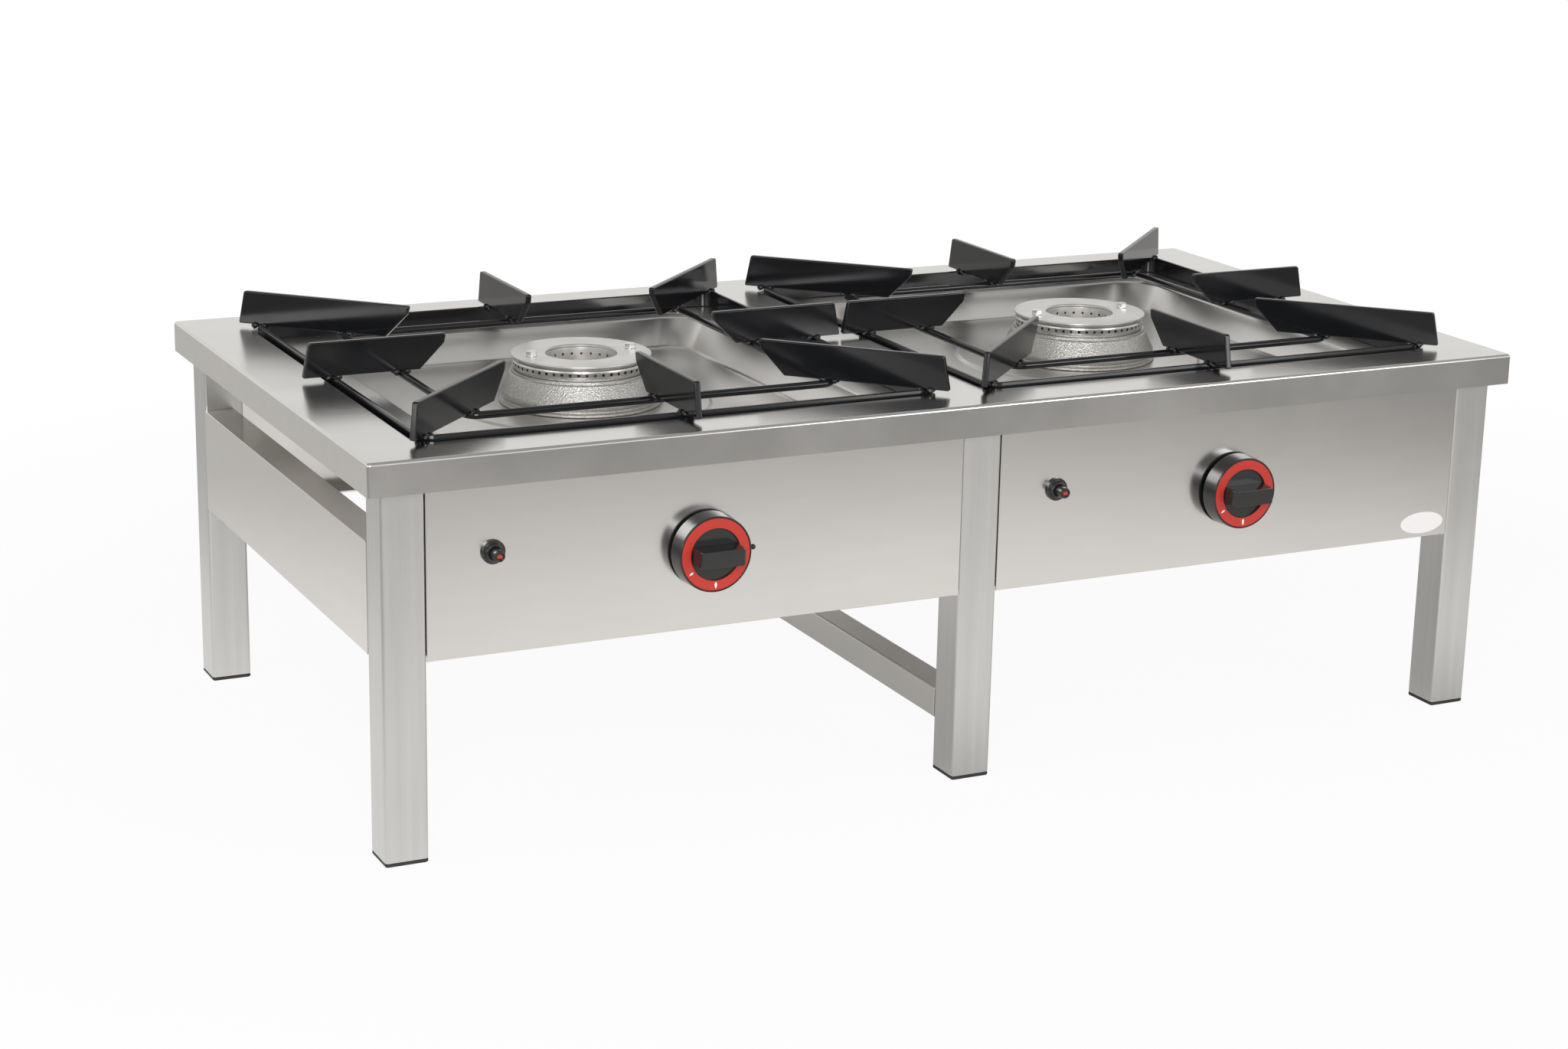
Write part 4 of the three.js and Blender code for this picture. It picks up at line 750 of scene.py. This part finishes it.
def burner_base_mesh():
    """Cast trough with its flared foot, lumpy outside as it left the mould."""
    z = BASE_Z
    floor_top, rim_top = z + 4.5, z + 43.7
    outside = fillet([
        (BURNER_BORE, z, 0.5), (80, z, 0.8), (80, z + 2.6, 1.2), (75.5, z + 3.6, 1.5), (79.2, z + 9, 4),
        (69.6, z + 28.2, 2), (68.2, z + 29.4, 0.8), (68, z + 32, 0.6), (63.2, z + 32, 0.3), (63.2, z + 34, 0.2),
        (58, z + 34, 0.2), (58, z + 28, 1), (72.5, z + 10, 3), (72.5, floor_top, 3),
        (40, floor_top, 2), (40, rim_top, 0.2), (BURNER_BORE, rim_top, 0.5),
    ], steps=3)
    profile = []
    for (r0, z0), (r1, z1) in zip(outside, outside[1:] + outside[:1]):
        cast = min(r0, r1) > 67 and max(z0, z1) < z + 30 and min(z0, z1) > z + 2
        pieces = max(1, round(math.hypot(r1 - r0, z1 - z0) / CAST_STEP)) if cast else 1
        profile += [(r0 + (r1 - r0) * k / pieces, z0 + (z1 - z0) * k / pieces) for k in range(pieces)]
    bm = bmesh.new()
    loft(bm, [circle(radius, height, 288) for radius, height in profile], through=True)
    weld(bm)
    bm.normal_update()
    for vert in bm.verts:
        reach = vert.co.xy.length
        if reach > 68.4 and z + 3 < vert.co.z < z + 29 and vert.normal.xy.dot(vert.co.xy) > 0:
            lumps = noise.noise(vert.co * 0.62) + 0.5 * noise.noise(vert.co * 0.2)
            vert.co += vert.normal * CAST_LUMPS * lumps
    steps = [
        ("UNION", post(18, z - 12, z + 1, (0, MIXER_Y), 48)),
        ("DIFFERENCE", post(14, z - 13, floor_top + 1, (0, MIXER_Y), 48)),
    ]
    for x in (-BOLT_X, BOLT_X):
        steps += [
            ("UNION", post(5.5, floor_top - 1, rim_top, (x, 0))),
            ("DIFFERENCE", post(3.3, z + 23, z + 45, (x, 0), 20)),
        ]
    steps.append(("DIFFERENCE", radial_drills("inner_ports", 24, 1.25, near=34, far=42, z=z + 37.5)))
    return combined("burner_base", mesh_of("casting", bm), *steps)


def port_ring_mesh():
    """Polished band with a row of drilled flame ports."""
    low, high = RING_Z, RING_Z + 7.4
    body = lathe("band", fillet([
        (58, low, 0.4), (66, low, 0.8), (66, low + 1.2, 0.3), (66.4, low + 1.7, 0.3), (66.4, high - 1.7, 0.3),
        (66, high - 1.2, 0.3), (66, high, 0.8), (58, high, 0.4),
    ], steps=2), 208)
    ports = radial_drills("ports", 52, 1.45, near=56, far=69, z=low + 3.7, sides=14)
    return combined("port_ring", body, ("DIFFERENCE", ports))


def cover_mesh():
    """Machined plate over the gas chamber."""
    z = COVER_Z
    plate = lathe("plate", fillet([
        (35, z, 0.4), (58, z, 0), (58, z - 2, 0), (63.2, z - 2, 0), (64, z, 0.6), (66.6, z, 0.5),
        (68, z + 1.2, 0.6), (68, z + 3, 0.7), (36.4, z + 3, 0.4), (35, z + 2, 0.5),
    ], steps=3), 144)
    holes = [("DIFFERENCE", post(3.3, z - 1, z + 4, (x, 0), 24)) for x in (-BOLT_X, BOLT_X)]
    return combined("cover_plate", plate, *holes)


def bolt_mesh():
    """Hexagon bolt with a chamfered head."""
    seat = COVER_Z + 3 + FIT
    top = seat + 4.5
    hexagon = post(5.6, seat + 0.4, top, count=6)
    dome = lathe("dome", [(0, seat), (5.5, seat + 0.4), (5.9, seat + 3.6), (4.7, top), (0, top)], 48)
    washer = lathe("washer", [(0, seat), (5.2, seat), (5.2, seat + 0.5), (0, seat + 0.5)], 48)
    shank = lathe("shank", [
        (0, seat - 22), (2.6, seat - 22), (3, seat - 21.5), (3, seat + 1), (0, seat + 1),
    ], 32)
    return combined("hexagon_bolt", hexagon, ("INTERSECT", dome), ("UNION", washer), ("UNION", shank))


# ---------------------------------------------------------------- controls

def grip_solid():
    """Bar across the knob, drawn in towards its end, with soft edges."""
    levels = [(23.4, 8.6, 17), (21.1, 7.95, 37.6), (20.8, 7.7, 38.6), (20.2, 7.2, 39)]
    bm = bmesh.new()
    rings = []
    for length, width, height in levels:
        corners = [(length, width, 1.5), (-length, width, 1.5), (-length, -width, 1.5), (length, -width, 1.5)]
        rings.append([(x, y, height) for x, y in fillet(corners, steps=4)])
    capped(bm, rings)
    return mesh_of("grip", bm, FORWARD)


def knob_mesh(screwed):
    """Skirt, rim, dished disc and grip of a control knob, bored for its spindle."""
    shell = lathe("shell", fillet([
        (0, 19, 0), (23.9, 19, 0.5), (23.9, 20.4, 0.2), (33.5, 20.4, 0.2), (33.5, 22, 0.3), (34.2, 22, 0.3),
        (35, 21.2, 0.7), (36, 4.4, 0.5), (36, 3.5, 0.4), (33.4, 3.5, 0.3),
        (32.4, 16.4, 2), (9, 16.4, 1), (9, 4.1, 0.3), (0, 4.1, 0),
    ], steps=3), 128, FORWARD)
    bore = lathe("bore", [(0, 0), (4.3, 0), (4.3, 26), (0, 26)], 24, FORWARD)
    steps = [("UNION", grip_solid()), ("DIFFERENCE", bore)]
    if screwed:
        hole = lathe("hole", [(0, 4), (1.8, 4), (1.8, 42), (0, 42)], 20, Matrix.Rotation(math.pi / 2, 4, "Y"))
        hole.transform(Matrix.Translation((0, -SCREW_REACH * MM, 0)))
        steps.append(("DIFFERENCE", hole))
    return combined("knob", shell, *steps)


def knob_screw_mesh():
    """Long screw through the skirt, with a ball end."""
    turns = [math.radians(35 + 145 * k / 10) for k in range(11)]
    ball = [(2.6 * math.sin(a), 41 - 2.6 * math.cos(a)) for a in turns]
    profile = [(0, 4.6), (1.2, 4.6), (1.5, 5), (1.5, 38.9)] + ball
    mesh = lathe("knob_screw", profile, 24, Matrix.Rotation(math.pi / 2, 4, "Y"))
    mesh.transform(Matrix.Translation((0, -SCREW_REACH * MM, 0)))
    return mesh


def dial_ring_mesh():
    profile = fillet([(24.2, 20.7, 0.1), (33.2, 20.7, 0.1), (33.2, 21.7, 0.3), (24.2, 21.7, 0.3)], steps=2)
    return lathe("dial_ring", profile, 128, FORWARD)


def dial_marks_mesh():
    """Two printed pointers on the ring: a long drop at the foot and a small flame beside it."""
    bm = bmesh.new()
    for degrees, length, width, swell in ((270, 6.2, 3.0, 0.72), (213, 4.6, 2.2, 0.62)):
        turn = Matrix.Rotation(math.radians(degrees), 4, "Z")
        outline = []
        for a in full_turn(24):
            along = -0.5 * math.cos(a)
            across = 0.5 * math.sin(a) * (1 - swell * (along + 0.5) ** 1.4)
            outline.append(Vector((28.7 + length * along, width * across, 0)))
        capped(bm, [[turn @ (point + Vector((0, 0, z))) for point in outline] for z in (21.66, 21.82)])
    return mesh_of("dial_marks", bm, FORWARD)


def igniter_body_mesh():
    """Bezel and collar in front of the panel, nut and barrel behind it."""
    return lathe("igniter_body", fillet([
        (0, -20.6, 0), (5.5, -20.6, 0), (5.5, 6.2, 0.3), (7.4, 6.6, 0.6), (8.2, 5.2, 0.8), (8.6, 3.2, 0.6),
        (10.2, 3.2, 0.7), (11, 2.2, 0.6), (11, 0.3, 0.2), (8, 0.3, 0), (8, -1.8, 0), (12, -1.8, 0.3),
        (12, -6.8, 0.3), (8, -6.8, 0), (8, -36, 0.5), (0, -36, 0),
    ], steps=3), 64, FORWARD)


def igniter_button_mesh():
    return lathe("igniter_button", fillet([
        (0, 16.9, 0), (3.4, 16.9, 0.2), (3.7, 17.7, 0.25), (4.5, 18, 0.5), (5.2, 16.8, 0.6), (5.2, 12, 0.2),
        (5.0, 11.6, 0.2), (5.2, 11.2, 0.2), (5.2, -14, 0.4), (0, -14, 0),
    ], steps=3), 56, FORWARD)


def spark_mark_mesh():
    """Red flame shape set in the end of the igniter button."""
    outline = fillet([
        (-2.3, -1.5, 0.6), (2.3, -1.5, 0.6), (2.6, 0.6, 0.4), (1.5, 0.4, 0.3), (1.0, 2.3, 0.3),
        (-0.2, 0.9, 0.3), (-1.2, 2.0, 0.3), (-2.5, 0.3, 0.5),
    ], steps=3)
    bm = bmesh.new()
    capped(bm, [[(x, y, z) for x, y in outline] for z in (16.8, 17.35)])
    return mesh_of("spark_mark", bm, FORWARD)


def blank_oval_mesh():
    """Thin oval plate without any print."""
    bm = bmesh.new()
    outline = [(OVAL_LONG * math.cos(a), OVAL_SHORT * math.sin(a)) for a in full_turn(64)]
    levels = ((1, 0.02), (1, 0.2), (0.985, 0.3))
    capped(bm, [[(x * share, y * share, z) for x, y in outline] for share, z in levels])
    return mesh_of("blank_oval", bm, FORWARD)


# ---------------------------------------------------------------- assembly

def build_table():
    """Tabletop, legs with their feet, and the tie between the middle legs."""
    piece("tabletop_sheet", tabletop_mesh(), TABLE_STEEL, "table", ["tabletop"], sheet=SHEET)
    leg = tube_mesh("leg_tube", LEG_HALF, corner=3, wall=2, length=LEG_LENGTH)
    foot = foot_mesh()
    for row, y in (("front", -LEG_Y), ("back", LEG_Y)):
        for place, x in (("left", -LEG_X), ("middle", 0), ("right", LEG_X)):
            name = f"{row}_{place}"
            piece(f"tube_leg_{name}", leg, TUBE_STEEL, "table", [f"leg_{name}"],
                  at=(x, y, LEG_FOOT))
            piece(f"plug_foot_{name}", foot, FOOT_BLACK, "table", [f"foot_{name}"],
                  at=(x, y, 0))
    low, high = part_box("cross_tube")
    middle = (low + high) / 2 / MM
    tie = tube_mesh("tie", 15, corner=2, wall=1.5, length=(high.y - low.y) / MM, turn=FORWARD)
    piece("tie_tube", tie, TIE_STEEL, "table", ["cross_tube"], at=(middle.x, high.y / MM, middle.z))


def build_panels():
    """Panels round the two bays, and the blank oval on the right one."""
    bay = LEG_X / 2
    width = LEG_X - 2 * LEG_HALF - 2 * FIT
    top = TABLE_Z - SHEET - FIT
    side_width = 2 * LEG_Y - 2 * LEG_HALF - 2 * FIT
    side = panel_mesh("side_tray", side_width, SIDE_PANEL_TOP, FLANGE)
    for label, sign in BAYS:
        holes = [
            (sign * (BURNER_X - bay), TAP_Z, TAP_HOLE),
            (IGNITER_X[label] - sign * bay, IGNITER_Z, IGNITER_HOLE),
        ]
        front = panel_mesh(f"front_tray_{label}", width, top, FRONT_FLANGE, holes)
        piece(f"front_tray_{label}", front, PANEL_STEEL, "table", [f"front_panel_{label}"],
              at=(sign * bay, -FACE_Y, 0), sheet=PANEL_SHEET)
        outlet = [(bay - INLET_X, TAP_Z, INLET_HOLE)] if sign > 0 else []
        back = panel_mesh(f"back_tray_{label}", width, top, FLANGE, outlet)
        piece(f"back_tray_{label}", back, PANEL_STEEL, "table", [f"back_panel_{label}"],
              at=(sign * bay, FACE_Y, 0), turn=math.pi, sheet=PANEL_SHEET)
        piece(f"side_tray_{label}", side, PANEL_STEEL, "table", [f"side_panel_{label}"],
              at=(sign * (LEG_X + LEG_HALF), 0, 0), turn=sign * math.pi / 2, sheet=PANEL_SHEET)
    piece("blank_oval", blank_oval_mesh(), DIAL_WHITE, "table", at=(OVAL_X, -FACE_Y, OVAL_Z))


def build_burners():
    """Burner and pan support in each well."""
    base, band, cover, bolt, support = (
        burner_base_mesh(), port_ring_mesh(), cover_mesh(), bolt_mesh(), pan_support_mesh()
    )
    for label, sign in BAYS:
        at = (sign * BURNER_X, 0, 0)
        piece(f"cast_base_{label}", base, BORED_CASTING, "table", [f"burner_base_{label}"],
              at=at, edges=50)
        piece(f"port_band_{label}", band, RING_METAL, "table", [f"burner_port_ring_{label}"], at=at)
        piece(f"cover_plate_{label}", cover, MACHINED, "table", [f"burner_cover_{label}"], at=at)
        for letter, x in (("a", -BOLT_X), ("b", BOLT_X)):
            piece(f"hexagon_bolt_{letter}_{label}", bolt, ZINC, "table",
                  [f"burner_bolt_{letter}_{label}"], at=(sign * BURNER_X + x, 0, 0), edges=25)
        piece(f"enamelled_support_{label}", support, ENAMEL, f"pan_support_{label}",
              [f"pan_support_{label}"], at=at, edges=40)


def build_controls():
    """Knob and igniter on each front panel."""
    ring, marks, body, button, spark = (
        dial_ring_mesh(), dial_marks_mesh(), igniter_body_mesh(), igniter_button_mesh(), spark_mark_mesh()
    )
    for label, sign in BAYS:
        at = (sign * BURNER_X, -FACE_Y, TAP_Z)
        moves = f"knob_{label}"
        piece(f"knob_body_{label}", knob_mesh(sign < 0), SKIRT_BLACK, moves,
              [f"knob_{label}"], at=at)
        piece(f"dial_band_{label}", ring, DIAL_RED, moves, [f"dial_ring_{label}"], at=at)
        piece(f"dial_marks_{label}", marks, DIAL_WHITE, moves, at=at)
        at = (IGNITER_X[label], -FACE_Y, IGNITER_Z)
        moves = f"button_{label}"
        piece(f"igniter_bezel_{label}", body, SKIRT_BLACK, "table",
              [f"igniter_body_{label}"], at=at)
        piece(f"push_button_{label}", button, BUTTON_BLACK, moves,
              [f"igniter_button_{label}"], at=at)
        piece(f"spark_mark_{label}", spark, DIAL_RED, moves, at=at)
    piece("ball_screw_left", knob_screw_mesh(), BUTTON_BLACK, "knob_left", ["knob_screw_left"],
          at=(-BURNER_X, -FACE_Y, TAP_Z))


def finish_hidden_work():
    """Gives the pieces under the table their finish and broken edges."""
    finishes = {
        "gas_rail": PIPE_STEEL, "supply_pipe": PIPE_STEEL, "tap_spindle": PIPE_STEEL,
        "thermocouple": PIPE_STEEL, "gas_inlet": BRASS, "gas_tap": BRASS, "injector": BRASS,
        "pilot_burner": BRASS, "mixing_tube": CASTING, "spark_electrode": CERAMIC,
    }
    for name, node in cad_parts.items():
        if node.hide_render:
            continue
        finish = next(value for start, value in finishes.items() if name.startswith(start))
        node.data.materials.clear()
        node.data.materials.append(finish)
        joined = node.modifiers.new("joined", "WELD")
        joined.merge_threshold = 0.01 * MM
        broken = node.modifiers.new("broken edges", "BEVEL")
        broken.width = 0.35 * MM
        broken.segments = 2
        broken.angle_limit = math.radians(40)
        node.modifiers.new("shading", "WEIGHTED_NORMAL").keep_sharp = True


# ---------------------------------------------------------------- studio

def studio_floor():
    """Pale floor, white to the camera. The steel sees it with a painted pool of light, darker further off, and
    painted shade under the range.
    """
    bm = bmesh.new()
    loft(bm, [circle(radius, 0, 64) for radius in (10, 1500, 4000, 10000, 40000)])
    bmesh.ops.contextual_create(bm, geom=[v for v in bm.verts if v.co.xy.length < 11])
    floor = bpy.data.objects.new("studio_floor", mesh_of("studio_floor", bm, facing=(0, 0, 1)))
    bpy.context.scene.collection.objects.link(floor)
    material = bpy.data.materials.new("studio paper")
    material.use_nodes = True
    tree = material.node_tree
    tree.nodes.clear()
    place = add(tree, "TexCoord").outputs["Object"]
    middle = (0.15, 0.0, 0.0)  # metres, as are the distances below
    offset = vector_result(tree, "SUBTRACT", place, middle)
    reach = vector_result(tree, "LENGTH", offset)
    # Painted light: what the steel mirrors is a painted pool of light that fades further off and behind the
    # range.
    painted_falloff = ramp(tree, reach, 0.95, 1.85, 0.96, 0.24)
    behind = ramp(tree, add(tree, "SeparateXYZ", {0: place}).outputs["Y"], -0.3, 0.2, 0.0, 0.58)
    # Painted shade: the floor's glow in the steel is dimmed under the range.
    away = add(tree, "SeparateXYZ", {0: vector_result(tree, "ABSOLUTE", offset)}).outputs
    open_floor = work_out(tree, "MAXIMUM", ramp(tree, away["X"], 0.35, 0.7), ramp(tree, away["Y"], 0.25, 0.5))
    under = ramp(tree, open_floor, 0.0, 1.0, 0.5, 1.0)
    painted_glow = work_out(tree, "MULTIPLY", work_out(tree, "MAXIMUM", painted_falloff, behind), under)
    shadow_share = ramp(tree, reach, 0.9, 1.7, 0.07, 0.0)
    rays = add(tree, "LightPath").outputs
    white = add(tree, "Emission", {"Color": (1, 1, 1, 1), "Strength": 1.0}).outputs[0]
    mirrored = add(tree, "Emission", {"Color": (1, 0.98, 0.945, 1), "Strength": painted_glow}).outputs[0]
    paper = add(tree, "BsdfDiffuse", {"Color": (0.86, 0.86, 0.86, 1)}).outputs[0]
    polished = work_out(tree, "MAXIMUM", rays["Is Glossy Ray"], rays["Is Transmission Ray"])
    by_gloss = mix_shaders(tree, polished, paper, mix_shaders(tree, 0.12, mirrored, paper))
    seen = mix_shaders(tree, shadow_share, white, paper)
    add(tree, "OutputMaterial", {0: mix_shaders(tree, rays["Is Camera Ray"], by_gloss, seen)})
    floor.data.materials.append(material)


def studio_world():
    """Room with pale walls and a darker ceiling; white to the camera."""
    world = bpy.data.worlds.new("studio")
    world.use_nodes = True
    tree = world.node_tree
    tree.nodes.clear()
    height = add(tree, "SeparateXYZ", {0: add(tree, "TexCoord").outputs["Generated"]}).outputs["Z"]
    level = ramp(tree, height, 0.36, 0.72, 0.86, 0.38, interpolation_type="SMOOTHSTEP")
    room = add(tree, "Background", {"Color": (1, 0.99, 0.97, 1), "Strength": level}).outputs[0]
    backdrop = add(tree, "Background", {"Color": (1, 1, 1, 1), "Strength": 1.0}).outputs[0]
    to_camera = add(tree, "LightPath").outputs["Is Camera Ray"]
    add(tree, "OutputWorld", {0: mix_shaders(tree, to_camera, room, backdrop)})
    bpy.context.scene.world = world


def softbox(name, at, width, depth, power, aim=(0, 0, 0.3)):
    """Soft lamp aimed at the middle of the range; metres and watts."""
    data = bpy.data.lights.new(name, "AREA")
    data.shape = "RECTANGLE"
    data.size, data.size_y = width, depth
    data.energy = power
    lamp = bpy.data.objects.new(name, data)
    bpy.context.scene.collection.objects.link(lamp)
    lamp.location = at
    lamp.rotation_euler = (Vector(aim) - Vector(at)).to_track_quat("-Z", "Y").to_euler()
    lamp.visible_camera = False


def photo_camera():
    """Camera that stands where the picture was taken, to the left and a little above the table."""
    yaw, pitch, roll = 0.4564, 0.2739, 0.0206  # radians
    data = bpy.data.cameras.new("photo_camera")
    data.sensor_width = 36
    data.lens = 69.515
    data.clip_end = 100
    camera = bpy.data.objects.new("photo_camera", data)
    bpy.context.scene.collection.objects.link(camera)
    aimed = Matrix.Rotation(-yaw, 3, "Z") @ Matrix.Rotation(math.pi / 2 - pitch, 3, "X")
    camera.rotation_mode = "QUATERNION"
    camera.rotation_quaternion = (aimed @ Matrix.Rotation(roll, 3, "Z")).to_quaternion()
    camera.location = (-1.3654, -2.6622, 1.0135)
    bpy.context.scene.camera = camera


build_table()
build_panels()
build_burners()
build_controls()
finish_hidden_work()
studio_floor()
studio_world()
softbox("key by the camera", (-1.25, -2.45, 1.35), 0.95, 1.05, 34)
softbox("right front", (1.5, -2.5, 1.1), 0.9, 1.2, 12)
softbox("left side", (-2.9, -0.9, 0.95), 1.3, 0.6, 6)
photo_camera()

bpy.context.scene.view_settings.view_transform = "Standard"
